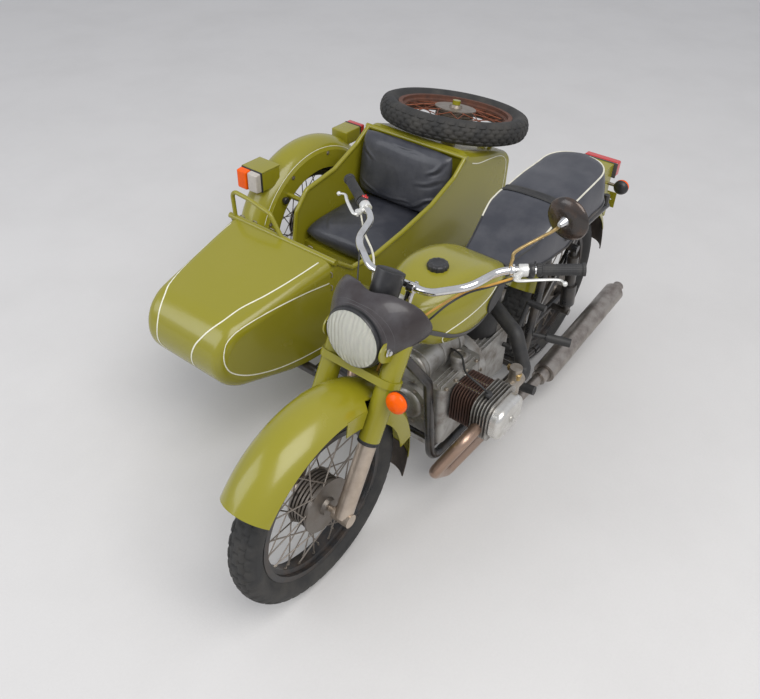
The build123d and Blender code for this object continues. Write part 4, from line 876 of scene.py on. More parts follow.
def saddle_point(rows, v):
    """A point of the saddle's skin. For |v| < 1 it is on the crowned top, z = edge +
    crown (1 - |v|^2.4)^0.7; beyond that it goes down the bulging side to |v| = 2."""
    x, half, high, low_x, low_half, low, angle = [rows[:, k][:, None] for k in range(7)]
    v = v[None] + 0 * x
    side, top = np.sign(v), np.clip(np.abs(v), 0, 1)
    down = np.clip(np.abs(v) - 1, 0, 1)
    crown = 5 + 8 * np.clip((590 - x) / 160, 0, 1) * half / 121
    dip = 5 * np.exp(-((x - STRAP_MIDDLE) / 20) ** 2) * (1 - down)
    creep = 0.9 * np.sin(x / 47 + 2 * v) * np.cos(x / 23 - 3 * v) * (1 - top ** 2)
    swell = 8 * np.sin(pi * down ** 0.8)
    blend = down ** 1.3
    px = x + (low_x - x) * blend - swell * np.sin(angle)
    py = side * ((half + (low_half - half) * blend) * top + swell * np.cos(angle))
    pz = high + crown * (1 - top ** SADDLE_POWER) ** 0.7 - (high - low) * down - dip + creep
    return np.stack([px, py, pz], -1)


def saddle_grid(rows, count):
    """Rings round the saddle: up one side, over the top, down the other and back below."""
    top = np.sin(np.linspace(-pi / 2, pi / 2, count))
    wall = np.linspace(1, 2, 15)[1:]
    v = np.concatenate([-wall[::-1], top, wall])
    skin = saddle_point(rows, v)
    across = np.linspace(1, 0, 9)[1:-1][None, :, None]
    below = skin[:, -1:] * across + skin[:, :1] * (1 - across)
    return np.concatenate([skin, below], 1)


class SIDECAR_OT_saddle(bpy.types.Operator):
    """Makes the long saddle with its piping, strap and lower rail"""
    bl_idname = "sidecar.saddle"
    bl_label = "Saddle"

    def execute(self, context):
        rows = saddle_rows()
        seat = grid_piece("padded_saddle", saddle_grid(rows, 49), "vinyl",
                          close_columns=True, cap=True)
        finish(face_outwards(seat, 80), "chassis", "seat_vinyl", "saddle")
        self.edges(rows)
        self.strap(rows)
        base = np.vstack([rows[:, 3:6], mirrored(rows[:, 3:6])[::-1][1:]])
        finish(tube("saddle_base_rail", base + (0, 0, 4), 5.0, "black", 8),
               "chassis", "black_paint")
        return {"FINISHED"}

    def edges(self, rows):
        """White piping round the rear, black piping further forward and a lip in front."""
        edge = saddle_point(rows, np.array([-1.0, 1.0]))
        loop = np.vstack([edge[:, 1], edge[::-1][1:, 0]]) + (0, 0, 1)
        radius = sizes().piping_radius * 1000
        front = loop[:, 0] > 430
        cut = int(np.argmin(front))
        last = len(loop) - cut
        finish(tube("saddle_piping", loop[cut:last], radius, "piping", 10), "chassis", "seat_vinyl")
        for name, part in (("left", loop[:cut + 1]), ("right", loop[last - 1:])):
            finish(tube("saddle_front_piping_" + name, part, radius, "rubber", 10),
                   "chassis", "black_rubber")
        lip = saddle_point(rows[6:7], np.linspace(-1, 1, 24))[0]
        finish(tube("saddle_front_lip", lip, 4.0, "rubber", 10), "chassis", "black_rubber")

    def strap(self, rows):
        """The ribbed hand strap: the saddle's own skin between two stations, pushed out
        some 4 mm, with three ribs along it."""
        half = STRAP_WIDTH / 2
        x = np.linspace(STRAP_MIDDLE - half, STRAP_MIDDLE + half, 17)
        order = np.argsort(rows[:, 0])
        picked = np.stack([np.interp(x, rows[order, 0], rows[order, k]) for k in range(7)], -1)
        over = np.sin(np.linspace(-pi / 2, pi / 2, 41))[1:-1]
        v = np.concatenate([np.linspace(-1.72, -1, 14), over, np.linspace(1, 1.72, 14)])
        skin = saddle_point(picked, v)
        outward = unit(np.stack([0 * v, np.clip(v, -1, 1) * (np.abs(v) > 0.9),
                                 1.0 * (np.abs(v) < 1.02)], -1))
        rib = 0.9 * np.cos((x - STRAP_MIDDLE) / STRAP_WIDTH * tau * 3.0)
        edge = np.clip((20.2 - np.abs(x - STRAP_MIDDLE)) / 2.5, 0, 1)
        lift = (1.0 + (3.4 + rib) * edge)[:, None, None]
        strap = grid_piece("saddle_strap", skin + outward[None] * lift, "rubber")
        thicken(strap, 1.5, -1.0)
        finish(face_outwards(bake(strap), 50), "chassis", "black_rubber")


# Sidecar seat
CUSHION_MIDDLE = np.array([263.0, SIDECAR_MIDDLE, 462.0])
BACKREST_MIDDLE = np.array([93.0, SIDECAR_MIDDLE, 662.0])
BACKREST_UP, BACKREST_OUT = np.array([-0.166, 0, 0.986]), np.array([0.986, 0, 0.166])
# Folds, as start and end in the sheet's square, depth in millimetres and width
CUSHION_FOLDS = (
    (0.55, -0.75, 0.9, -0.55, 3, 0.04), (0.6, 0.8, 0.9, 0.5, 3, 0.04),
    (-0.7, -0.2, -0.6, 0.4, 2, 0.05))
BACKREST_FOLDS = (
    (0.35, -0.9, 0.95, -0.35, 7, 0.05), (0.55, -0.95, 0.98, -0.7, 5, 0.04),
    (0.7, 0.35, 0.98, 0.8, 6, 0.05), (0.5, -0.1, 0.95, 0.2, 4, 0.06),
    (-0.95, -0.5, -0.5, -0.9, 6, 0.05), (-0.95, 0.6, -0.7, 0.2, 4, 0.05),
    (-0.3, -0.85, 0.3, -0.8, 4, 0.05), (-0.2, 0.85, 0.4, 0.8, 3, 0.05))


def pillow(name, half_u, half_v, front, back, put, wrinkle, power=8, pull=0.05):
    """A padded block: a front and a back sheet over one square of (u, v), each
    z = thickness sqrt((1 - |u|^p)(1 - |v|^p)), sewn together along the square's edge.
    The corners are pulled in and put() takes (u, v, height) to the machine."""
    s = np.linspace(-1, 1, 81)
    s = s * (1.5 - 0.5 * s ** 2)
    u, v = np.meshgrid(s, s, indexing="ij")
    round_u, round_v = 1 - np.abs(u) ** power, 1 - np.abs(v) ** power
    dome = np.sqrt(np.clip(round_u * round_v, 0, 1))
    x = half_u * u * (1 - pull * v ** 4)
    y = half_v * v * (1 - pull * u ** 4)
    crown = 0.16 * (1 - u ** 2) * (1 - v ** 2)
    high = front * (0.86 * dome + crown) + wrinkle(u, v) * dome
    low = -back * dome
    faces = [grid_piece(name + "_front", put(x, y, high), "vinyl"),
             grid_piece(name + "_back", put(x, y, low), "vinyl")]
    return face_outwards(join(name, faces), 80)


def creases(u, v, lines):
    """Folds along short lines, each a groove exp(-(distance/width)^2) beside a ridge,
    fading to its ends."""
    total = np.zeros_like(u)
    for u0, v0, u1, v1, depth, width in lines:
        length = np.hypot(u1 - u0, v1 - v0)
        du, dv = (u1 - u0) / length, (v1 - v0) / length
        along = (u - u0) * du + (v - v0) * dv
        off = (u - u0) * -dv + (v - v0) * du + 0.03 * np.sin(along * 9)
        fade = np.exp(-((along - length / 2) / (length / 1.7)) ** 4)
        total += fade * depth * (np.exp(-((off - width) / width) ** 2) - np.exp(-(off / width) ** 2))
    return total


def put_cushion(u, v, high):
    """The cushion lies flat, and its front edge bulges forward in the middle."""
    bulge = 10 * (1 - (v / 234) ** 2) * np.clip(u / 200, 0, 1)
    return np.stack([u + bulge, v, high], -1) + CUSHION_MIDDLE


def put_backrest(u, v, high):
    """The backrest leans back, and its rear sheet goes deeper towards the floor."""
    deep = np.where(high < 0, high * (1.3 - 0.9 * v / 138), high)
    point = BACKREST_MIDDLE + BACKREST_UP * v[..., None]
    return point + BACKREST_OUT * deep[..., None] + np.array(LEFT) * u[..., None]


class SIDECAR_OT_sidecar_seat(bpy.types.Operator):
    """Makes the sidecar's cushion and backrest"""
    bl_idname = "sidecar.seat"
    bl_label = "Sidecar seat"

    def execute(self, context):
        cushion = pillow(
            "padded_cushion", 210, 235, 64, 50, put_cushion, pull=0.02,
            wrinkle=lambda u, v: 0.8 * np.sin(3 * u + 5 * v) + creases(u, v, CUSHION_FOLDS))
        backrest = pillow(
            "padded_backrest", 229, 138, 46, 26, put_backrest, power=6,
            wrinkle=lambda u, v: 1.2 * np.sin(4 * u + 2 * v) + creases(u, v, BACKREST_FOLDS))
        for piece, node_name in ((cushion, "sidecar_cushion"), (backrest, "sidecar_backrest")):
            finish(piece, "chassis", "seat_vinyl", node_name)
        return {"FINISHED"}


# Headlamp
LAMP_MIDDLE = fork_point(150, 0, LAMP_HEIGHT)
LAMP_OUT = np.array([cos(LAMP_TILT), 0, sin(LAMP_TILT)])
LAMP_RISE = np.array([-sin(LAMP_TILT), 0, cos(LAMP_TILT)])
LAMP_BOWL = (  # distance out from the glass and radius
    (-108, 0.5), (-108, 34), (-88, 52), (-60, 70), (-42, 82), (-12, 83), (-12, 88.5),
    (-2, 89.2), (2, 88.6), (4.5, 86.5), (4.0, 85.3), (0.2, 85.2), (-1.5, 84), (-1.5, 80), (-4, 80))
LAMP_COVER = (  # angle from the left side over the top, depth back and radius there
    (0, 152, 143), (30, 126, 155), (60, 84, 139), (90, 66, 114), (120, 84, 139),
    (150, 126, 155), (180, 152, 143), (205, 66, 97), (240, 52, 86), (270, 58, 78),
    (300, 52, 86), (335, 66, 97))


def lamp_cover_grid():
    """A soft hood from the lamp's rim back over the bowl. Round the lamp's axis by the
    angle a it runs back to depth d(a) and out to radius r(a), which are smooth loops
    through the table's values, with wings that reach back beside the fork."""
    knots = np.array(LAMP_COVER, float)
    looped = np.vstack([knots[-2:] - (360, 0, 0), knots, knots[:3] + (360, 0, 0)])
    angle = np.linspace(0, 360, 120, endpoint=False)
    depth, radius = smooth_values(looped, angle)
    t = np.linspace(0, 1, 26)[:, None]
    a = np.radians(angle)[None]
    rim_depth, rim_radius = 11, 90.5
    back = rim_depth + (depth[None] - rim_depth) * t
    shape = np.clip(3 * t ** 1.25 - 2.0 * t ** 1.9, 0, 1.2)
    out = rim_radius + (radius[None] - rim_radius) * shape + 1.2 * np.sin(5 * a + 6 * t) * t
    spread = np.cos(a)[..., None] * np.array(LEFT) + np.sin(a)[..., None] * LAMP_RISE
    return LAMP_MIDDLE - LAMP_OUT * back[..., None] + spread * out[..., None]


class SIDECAR_OT_headlamp(bpy.types.Operator):
    """Makes the headlamp's bowl, reflector, rim and soft cover"""
    bl_idname = "sidecar.headlamp"
    bl_label = "Headlamp"

    def execute(self, context):
        self.bowl()
        self.cover()
        return {"FINISHED"}

    def bowl(self):
        """The bowl with its cross bolt, a reflector y = a x^2, and the bulb."""
        shell = lathe("headlamp_bowl", LAMP_MIDDLE, LAMP_OUT, LAMP_BOWL, "plastic", 96)
        pin = tube("headlamp_bolt", [fork_point(118, y, LAMP_HEIGHT) for y in (-93.2, 93.2)],
                   9, "plated", 20)
        finish(join("headlamp_housing", [shell, pin]), "fork", "black_paint", "headlamp_shell")
        depth = np.linspace(0, 1, 20)
        curve = np.stack([-46 + 44 * depth ** 2, 82.5 * np.sqrt(depth ** 2 * 0.985 + 0.015)], -1)
        wall = curve[::-1] + (-1.2, 0)
        profile = np.vstack([[(-46, 0.5)], curve, wall, [(-47.2, 0.5)]])
        finish(lathe("headlamp_reflector", LAMP_MIDDLE, LAMP_OUT, profile, "reflector", 72),
               "fork", "bright_metal")
        bulb = [(-46, 9), (-30, 9), (-26, 8), (-20, 9), (-14, 7), (-10, 0.5)]
        finish(lathe("headlamp_bulb", LAMP_MIDDLE, LAMP_OUT, bulb, "clear", 24),
               "fork", "lamp_plastic")

    def cover(self):
        """The soft cover with two seams, a hem and the band that holds it."""
        grid = lamp_cover_grid()
        cover = grid_piece("headlamp_cover", grid, "lamp_vinyl", close_columns=True)
        face_outwards(cover, 80)
        thicken(cover, 2.5, 1.0)
        finish(bake(cover), "fork", "black_plastic")
        for k, row in enumerate((2, 5)):
            ring = grid[row]
            centre = ring.mean(0)
            line = np.vstack([ring, ring[:1]])
            line = line + unit(line - centre) * 2.6
            finish(tube(f"headlamp_cover_seam_{k}", line, 0.9, "grey_rubber", 6),
                   "fork", "black_plastic")
        line = np.vstack([grid[-1], grid[-1][:1]])
        finish(tube("headlamp_cover_hem", line, 2.6, "lamp_vinyl", 8), "fork", "black_plastic")
        band = lathe("headlamp_cover_band", LAMP_MIDDLE, LAMP_OUT,
                     [(-20, 91), (-20, 93.6), (-9, 93.8), (-8, 91)], "plastic", 96)
        finish(band, "fork", "black_plastic")


# Handlebar and what it carries
MIRROR_HEAD = np.array([815.0, 332.0, 1120.0])
MIRROR_FACING = unit((-1, 0.12, 0.1))
LEVER_REACH = 26.0
LEVER_ENDS = {side: along_bar(side, 160, LEVER_REACH, -8) for side in SIDES}
CABLES = (  # name, material, radius and route
    ("yellow_clutch_cable", "cable_yellow", 3.6, (
        LEVER_ENDS[1], (972, 205, 938), (1000, 160, 914), (1055, 128, 890), (1092, 104, 866),
        (1118, 84, 840))),
    ("black_throttle_cable", "rubber", 3.0, (
        LEVER_ENDS[1] + (0, 4, -4), (968, 214, 938), (1012, 178, 926), (1072, 152, 908),
        (1112, 126, 870), (1134, 96, 828))),
    ("right_brake_cable", "piping", 3.4, (
        LEVER_ENDS[-1], (962, -222, 942), (1004, -160, 924), (1048, -118, 918), (1096, -84, 902),
        (1128, -62, 872))),
    ("right_throttle_cable", "rubber", 2.4, (
        LEVER_ENDS[-1] + (0, -6, 0), (985, -215, 965), (1075, -150, 950), (1130, -112, 900),
        (1150, -96, 850))),
    ("lamp_lead", "cable_yellow", 4.0, (
        (1222, 62, 790), (1237, 54, 748), (1240, 44, 720), (1250, 26, 716),
        (1262, 8, 730), (1256, -6, 748))))


def clamp_ring(name, start, end, width, edge, material):
    """A ring round the bar from start towards end, with its edges broken."""
    return lathe(name, start, end - start, [
        (0, 12), (0, 16.5), (edge, 17.6), (width - edge, 17.6), (width, 16.5), (width, 12)],
        material, 32)


class SIDECAR_OT_controls(bpy.types.Operator):
    """Makes the bar, grips, levers, switches, mirror, cables and fork bolts"""
    bl_idname = "sidecar.controls"
    bl_label = "Handlebar controls"

    def execute(self, context):
        self.bar()
        self.grips()
        self.levers()
        self.switches()
        self.mirror()
        for name, material, radius, points in CABLES:
            line = smooth_line(points, 60)
            finish(tube(name, line, radius, material, 10), "fork", "black_plastic")
        self.fork_fittings()
        self.pod_top()
        self.round_lamp("front_round_indicator", fork_point(102, 164, 412), (1, 0, 0.1), 33, 46,
                        [fork_point(102, 150, 412), fork_point(68, 124, 412)], "fork",
                        "front_indicator", "orange")
        self.round_lamp("rear_round_indicator", np.array([-284, 116, 720]), (-1, 0, 0.1), 30, 44,
                        [np.array([-284, 96, 720]), np.array([-284, 60.4, 720])], "chassis",
                        "rear_indicator", "orange")
        return {"FINISHED"}

    def bar(self):
        """The bent bar and the two clamps that hold it on the upper yoke."""
        corners = np.vstack([mirrored(HALF_BAR)[::-1], HALF_BAR])
        made = [tube("bent_bar", bent_line(corners, 85), BAR_RADIUS, "chrome", 28)]
        for side in SIDES:
            ring_end = fork_point(CLAMP_FORWARD, side * CLAMP_SPREAD - 12, 692)
            post_foot = fork_point(CLAMP_FORWARD, side * CLAMP_SPREAD, YOKE_TOP)
            made.append(lathe(f"clamp_ring_{side}", ring_end, LEFT, [
                (0, 10), (0, 14.5), (1.5, 16), (22.5, 16), (24, 14.5), (24, 10)], "chrome", 40))
            made.append(lathe(f"clamp_post_{side}", post_foot, STEER_UP, [
                (0, 15), (3, 15), (5, 12.5), (42, 12.5), (42, 0.5)], "chrome", 32))
        finish(join("bar_and_clamps", made), "fork", "bright_metal", "handlebar")

    def grips(self):
        """Rubber sleeves with ribs along them and a bead at each end."""
        made = []
        for side in SIDES:
            start, end = along_bar(side, -4), along_bar(side, 125)
            along = np.concatenate([[0, 0, 1.5, 5, 8, 10, 13], np.linspace(16, 112, 34),
                                    [114, 117, 120, 126, 128.8, 128.8]])
            radius = np.where(along < 9, 18.2, 15.4)
            radius = np.where((along > 16) & (along < 112), 15.6 + 0.5 * np.cos(along * 1.3), radius)
            radius = np.where(along > 114, 18.4, radius)
            radius[0], radius[-1] = 8, 12
            made.append(lathe(f"grip_{side}", start, end - start, np.stack([along, radius], -1),
                              "rubber", 96, lobes=24, lobe_depth=0.022))
        finish(join("ribbed_grips", made), "fork", "black_rubber", "handlebar_grips")

    def levers(self):
        """Cast perches clamped on the bar, and blades that taper and end in a ball."""
        made = []
        for side in SIDES:
            inner, outer = along_bar(side, 173), along_bar(side, 147)
            middle = (inner + outer) / 2
            pivot = middle + (34, 0, -6)
            tip = along_bar(side, 20) + (62, 0, -14)
            made.append(clamp_ring(f"clamp_{side}", outer, inner, 26, 2, "lever"))
            made.append(tube(f"perch_{side}", [middle, middle + (18, 0, -3), pivot], (11, 10, 9),
                             "lever", 14, flat=0.8))
            made.append(lathe(f"pivot_{side}", pivot + (0, 0, -8), UP, [
                (0, 7), (0, 10.5), (1.5, 11), (14.5, 11), (16, 10.5), (16, 5), (18.5, 5),
                (19, 4)], "lever", 24))
            blade = smooth_line([
                pivot, pivot + (12, side * 10, 0), (pivot + tip) / 2 + (2, side * 3, 5),
                tip + (-6, -side * 20, 1), tip], 40)
            radius = np.interp(np.linspace(0, 1, 40), [0, 0.12, 0.5, 0.9, 1.0], [8, 6.5, 5.6, 4.8, 5.0])
            made.append(tube(f"blade_{side}", blade, radius, "lever", 14, flat=0.62))
            made.append(lathe(f"ball_{side}", tip - (0, 0, 7), UP, [
                (0, 0.5), (1, 4), (3, 6.2), (7, 7.4), (11, 6.2), (13, 4), (14, 0.5)], "lever", 20))
        finish(join("cast_levers", made), "fork", "polished_aluminium", "control_levers")

    def switches(self):
        """A dipper switch on the left and a red cut-out switch on the right."""
        for side, name, knob_material, reach in (
                (1, "left", "plastic", (8, 0, -22)), (-1, "right", "red", (-10, 0, 20))):
            start, end = along_bar(side, 130), along_bar(side, 145)
            drum = lathe(f"{name}_switch_drum", start, end - start, [
                (0, 12), (0, 18), (2, 19.5), (13, 19.5), (15, 18), (15, 12)], "plastic", 32)
            middle = (start + end) / 2
            knob = tube(f"{name}_switch_knob", [middle + np.array(reach) * 0.5, middle + np.array(reach)],
                        (12, 10), knob_material, 16, flat=0.8)
            stem = tube(f"{name}_switch_stem", [middle, middle + (-14, 0, 22)], (3, 2.4),
                        knob_material, 8)
            finish(join(f"{name}_switch", [drum, knob, stem]), "fork", "black_plastic")

    def mirror(self):
        """A domed back with a cone in its middle, glass in front, on a brass stalk."""
        head, facing = MIRROR_HEAD, MIRROR_FACING
        foot = along_bar(1, 197)
        shell = lathe("mirror_shell", head, facing, [
            (-7, 0.5), (-6.5, 16), (-4, 34), (1, 50), (7, 59.5), (12, 61.8), (14, 61.5),
            (14.2, 58.5), (11.5, 58)], "mirror_back", 72)
        glass = lathe("mirror_face", head + facing * 11, facing, [
            (0, 0.5), (0, 58), (0.8, 58), (0.8, 0.5)], "mirror", 72)
        cone = lathe("mirror_cone", head - facing * 4, -facing, [
            (0, 15), (3, 14.5), (12, 10), (22, 7.5), (24, 6), (24, 0.5)], "chrome", 28)
        line = smooth_line([foot + (0, 0, 10), foot + (-3, 2, 36), foot + (-10, 8, 62),
                            head - facing * 16 + (0, -20, -30), head - facing * 18], 60)
        stalk = tube("mirror_stalk", line, 4.6, "brass", 14)
        clamp = clamp_ring("mirror_clamp", foot, along_bar(1, 183), 14, 1.5, "chrome")
        finish(join("round_mirror", [shell, glass, cone, stalk, clamp]), "fork", "mirror_glass",
               "rear_view_mirror")

    def fork_fittings(self):
        """Bolts on the lamp ears, yokes and clamps, collars on the legs, and the damper knob."""
        ears = np.array([fork_point(f, s * 101.2, LAMP_HEIGHT) for s in SIDES for f in (78, 118)])
        ways = np.array([LEFT, LEFT, RIGHT, RIGHT])
        finish(bolts("lamp_ear_bolts", ears, ways, 8.5, 8, "chrome"), "fork", "plated_steel")
        tops = np.array([fork_point(FORK_OFFSET, s * LEG_SPREAD, YOKE_TOP) for s in SIDES])
        finish(bolts("fork_top_nuts", tops, STEER_UP, 15, 12, "plated"), "fork", "plated_steel")
        collars = np.array([fork_point(FORK_OFFSET, s * LEG_SPREAD, COVER_BOTTOM - 12) for s in SIDES])
        rings = turned_many("cover_collars", collars, STEER_UP, [
            (0, 26), (0, 31), (1.5, 33), (4.5, 33), (6, 31.4), (7.5, 33), (10.5, 33), (12, 31),
            (12, 26)], "rubber", 40)
        finish(rings, "fork", "black_rubber")
        caps = np.array([fork_point(f, s * CLAMP_SPREAD, 704) for s in SIDES for f in (-8, 27)])
        finish(bolts("bar_clamp_bolts", caps, STEER_UP, 5.5, 6, "chrome"), "fork", "plated_steel")
        knob = lathe("steering_damper_knob", fork_point(0, 0, YOKE_TOP), STEER_UP, [
            (0, 10), (0, 26), (3, 28), (8, 28), (11, 25), (13, 12), (20, 11), (24, 9), (25, 0.5)],
            "lever", 48, lobes=8, lobe_depth=0.03)
        finish(knob, "fork", "polished_aluminium")

    def pod_top(self):
        """The speedometer's blank dial with its needle and rim."""
        dial = lathe("speedometer_dial", fork_point(64, 0, 717), STEER_UP, [
            (0, 0.5), (0, 36), (1, 36), (1, 0.5)], "dial", 48)
        finish(dial, "fork", "bright_metal")
        needle = tube("speedometer_needle", [fork_point(64, 0, 718.6), fork_point(40, 12, 718.6)],
                      (1.2, 0.6), "red", 6)
        finish(needle, "fork", "lamp_plastic")
        bezel = lathe("speedometer_rim", fork_point(64, 0, 721.6), STEER_UP, [
            (0, 37.4), (0, 41.8), (2.4, 41.4), (3, 39.5), (2, 37.4)], "plastic", 64)
        finish(bezel, "fork", "black_plastic")

    def round_lamp(self, name, middle, facing, radius, depth, stalk, body, replaced, lens):
        """A black cup behind a ribbed, domed lens. The rings hold the distance from the
        back and the share of the lamp's radius."""
        facing = unit(facing)
        back = middle - facing * depth / 2
        r = radius
        cup = lathe(name + "_cup", back, facing, [
            (-1, 0.5), (0.5, r * 0.42), (4, r * 0.7), (10, r * 0.9), (18, r * 0.99), (20, r),
            (22, r), (22, r * 0.9)], "plastic", 56)
        rings = ((22, 0.95), (24, 0.95), (25, 0.97), (30, 0.96), (31, 0.93), (35, 0.9), (36, 0.86),
                 (39.5, 0.78), (40.5, 0.72), (43.5, 0.58), (44.5, 0.5), (46.5, 0.28))
        steps = [(out, r * share) for out, share in rings] + [(47, 0.5)]
        bulb = lathe(name + "_lens", back, facing, steps, lens, 56)
        arm = tube(name + "_arm", stalk, 6.5, "plated", 14)
        finish(join(name, [cup, bulb, arm]), body, "indicator_plastic", replaced)


# Lamps at the rear and on the sidecar
def sidecar_guard_top(x, y):
    """Height of the sidecar mudguard's crown: an arc of 87.5 mm across, turned at 322.5
    mm round the axle."""
    radius = 322.5 + np.sqrt(np.clip(87.5 ** 2 - (y - SIDECAR_WHEEL_Y) ** 2, 0, None))
    return 334.5 + np.sqrt(np.clip(radius ** 2 - (x - SIDECAR_WHEEL_X) ** 2, 0, None))


# Columns: name, low corner, high corner, edge radius, material, and other settings
TAIL_LAMP = (
    ("tail_gasket", (-306, -75, 739), (-300.3, 75, 802), 2, "grey_rubber", {}),
    ("tail_lens", (-342, -74, 741), (-305, 74, 803), 7, "red", {}))
SIDECAR_LAMPS = (
    ("front_box", (456, -1190, 628), (558, -1076, 711), 5, "paint", dict(floor=sidecar_guard_top)),
    ("front_lid", (454, -1192, 711), (560, -1074, 716), 2, "paint", {}),
    ("front_gasket", (558, -1191, 627), (565, -1075, 715), 3, "rubber", {}),
    ("front_orange", (564, -1190, 629), (596, -1134, 713), 6, "orange", dict(slope=0.06)),
    ("front_clear", (564, -1133, 629), (592, -1077, 713), 6, "clear", dict(slope=0.06)),
    ("rear_box", (-98, -1181, 642), (1, -1089, 704), 5, "paint", dict(floor=sidecar_guard_top)),
    ("rear_gasket", (-104, -1182, 641), (-97, -1088, 705), 3, "rubber", {}),
    ("rear_lens", (-132, -1180, 643), (-103, -1090, 704), 6, "red", {}))


class SIDECAR_OT_lamps(bpy.types.Operator):
    """Makes the tail lamp and the sidecar's front and rear lamps"""
    bl_idname = "sidecar.lamps"
    bl_label = "Lamps"

    def execute(self, context):
        for name, table, slot_name, node_name in (
                ("tail_lamp_block", TAIL_LAMP, "lamp_plastic", "tail_lamp"),
                ("sidecar_lamp_boxes", SIDECAR_LAMPS, "indicator_plastic", "sidecar_lamps")):
            pieces = [rounded_block(*row[:-1], **row[-1]) for row in table]
            finish(join(name, pieces), "chassis", slot_name, node_name)
        return {"FINISHED"}


# Painted lines
DECK_LINES = (
    ((883, -484, 690), (991, -502, 675), (1102, -527, 665), (1191, -555, 650), (1275, -567, 635),
     (1330, -600, 580), (1349, -622, 540), (1352, -640, 484), (1345, -650, 423)),
    ((885, -918, 690), (974, -920, 680), (1075, -910, 665), (1162, -887, 650), (1238, -857, 635),
     (1288, -833, 620), (1335, -815, 565), (1350, -811, 520), (1351, -814, 456), (1345, -792, 427)))
DECK_FACINGS = (
    ((0, 0, 1), (0, 0, 1), (0, 0, 1), (0.1, 0, 1), (0.35, 0, 1), (1, 0, 0.8),
     (1, 0, 0.4), (1, 0, 0), (1, 0, -0.4)),
    ((0, 0, 1), (0, 0, 1), (0, 0, 1), (0.1, 0, 1), (0.25, 0, 1), (0.5, 0, 1),
     (1, 0, 0.6), (1, 0, 0.3), (1, 0, -0.2), (1, 0, -0.4)))
SIDE_LOOP = (
    (875, -443, 614), (1003, -461, 623), (1153, -481, 620), (1250, -494, 610), (1300, -500, 590),
    (1322, -504, 550), (1324, -504, 500), (1300, -501, 452), (1235, -492, 405), (1132, -478, 369),
    (1020, -463, 352), (900, -447, 348))
REAR_LINE = ((-36, -440, 741), (-94, -440, 722), (-196, -440, 707), (-293, -440, 690),
             (-330, -440, 665), (-344, -440, 620), (-346, -440, 572), (-341, -440, 502))
TANK_LINE = ((755, 140, 810), (883, 144, 784), (990, 120, 745), (1001, 112, 722), (997, 112, 703),
             (985, 118, 670), (951, 120, 655))
TANK_STRIP = ((1040, 70, 762), (1010, 110, 742), (958, 135, 715), (871, 146, 698),
              (816, 148, 694), (760, 145, 690))
SIDE_WIDTH = 0.8  # the lines on the sides, as a share of the deck lines' width
GUARD_LINE_RADIUS = 384


def across_sidecar(points):
    """The same points on the sidecar's other side."""
    return mirrored(points) + (0, 2 * SIDECAR_MIDDLE, 0)


def round_sidecar_axle(radius, y, angles):
    """Places on a circle round the sidecar wheel's axle."""
    return np.stack([SIDECAR_WHEEL_X + radius * np.cos(angles), np.full(len(angles), y),
                     AXLE_Z + radius * np.sin(angles)], -1)


class SIDECAR_OT_lines(bpy.types.Operator):
    """Paints the thin lines on the sidecar and the tank, and lays the tank's rubbers"""
    bl_idname = "sidecar.lines"
    bl_label = "Painted lines"

    def execute(self, context):
        width = sizes().stripe_width * 1000
        side_width = width * SIDE_WIDTH
        laid = [ribbon(f"deck_line_{k}", points, facings, width, "sidecar_body", "stripe", count=140)
                for k, (points, facings) in enumerate(zip(DECK_LINES, DECK_FACINGS))]
        for name, points, count in (("side_line", SIDE_LOOP, 160), ("rear_line", REAR_LINE, 120)):
            laid.append(ribbon("left_" + name, points, LEFT, side_width, "sidecar_body", "stripe",
                               count=count))
            laid.append(ribbon("right_" + name, across_sidecar(points), RIGHT, side_width,
                               "sidecar_body", "stripe", count=count))
        finish(join("sidecar_lines", laid), "chassis", "olive_paint")
        # A pale line of the stripe material along the mudguard's inner wall, on an arc round the sidecar
        # axle.
        angle = np.radians(np.linspace(24, 150, 60))
        arc = round_sidecar_axle(GUARD_LINE_RADIUS, GUARD_WALL_Y, angle)
        guard = ribbon("sidecar_guard_line", arc, LEFT, side_width, "sidecar_mudguard", "stripe",
                       count=160)
        finish(guard, "chassis", "olive_paint")
        tank = [ribbon("left_tank_line", TANK_LINE, LEFT, side_width, "fuel_tank", "stripe", count=100),
                ribbon("right_tank_line", mirrored(TANK_LINE), RIGHT, side_width, "fuel_tank", "stripe",
                       count=100)]
        finish(join("tank_lines", tank), "chassis", "olive_paint")
        for side, name in ((1, "left"), (-1, "right")):
            self.tank_strip(side, name)
            self.knee_pad(side, name)
        return {"FINISHED"}

    def tank_strip(self, side, name):
        """A rounded rubber strip along the tank's lower side."""
        line = np.array(TANK_STRIP, float) * (1, side, 1)
        band = ribbon(name + "_tank_strip", line, (0, side, 0), 17, "fuel_tank",
                      "grey_rubber", proud=2.0, thick=6.0, count=80)
        smooth = band.modifiers.new("round", "SUBSURF")
        smooth.levels = smooth.render_levels = 1
        finish(face_outwards(bake(band), 70), "chassis", "black_rubber")

    def knee_pad(self, side, name):
        """An oval rubber pad: a square of (u, v) drawn into a disc, x = u sqrt(1 - v^2/2)
        and y = v sqrt(1 - u^2/2), and laid on the tank."""
        u, v = np.meshgrid(np.linspace(-1, 1, 41), np.linspace(-1, 1, 41), indexing="ij")
        x = 735 + 92 * u * np.sqrt(1 - v ** 2 / 2)
        z = 752 + 52 * v * np.sqrt(1 - u ** 2 / 2) + 0.1 * (x - 735)
        pad = grid_piece(name + "_knee_pad", np.stack([x, side * (152 + 0 * x), z], -1), "rubber")
        drop_on(pad, "fuel_tank", 3)
        thicken(pad, 5.5, 0.0)
        soft = pad.modifiers.new("round", "BEVEL")
        soft.width, soft.segments, soft.limit_method = 0.0018, 3, "ANGLE"
        finish(face_outwards(bake(pad), 60), "chassis", "black_rubber")


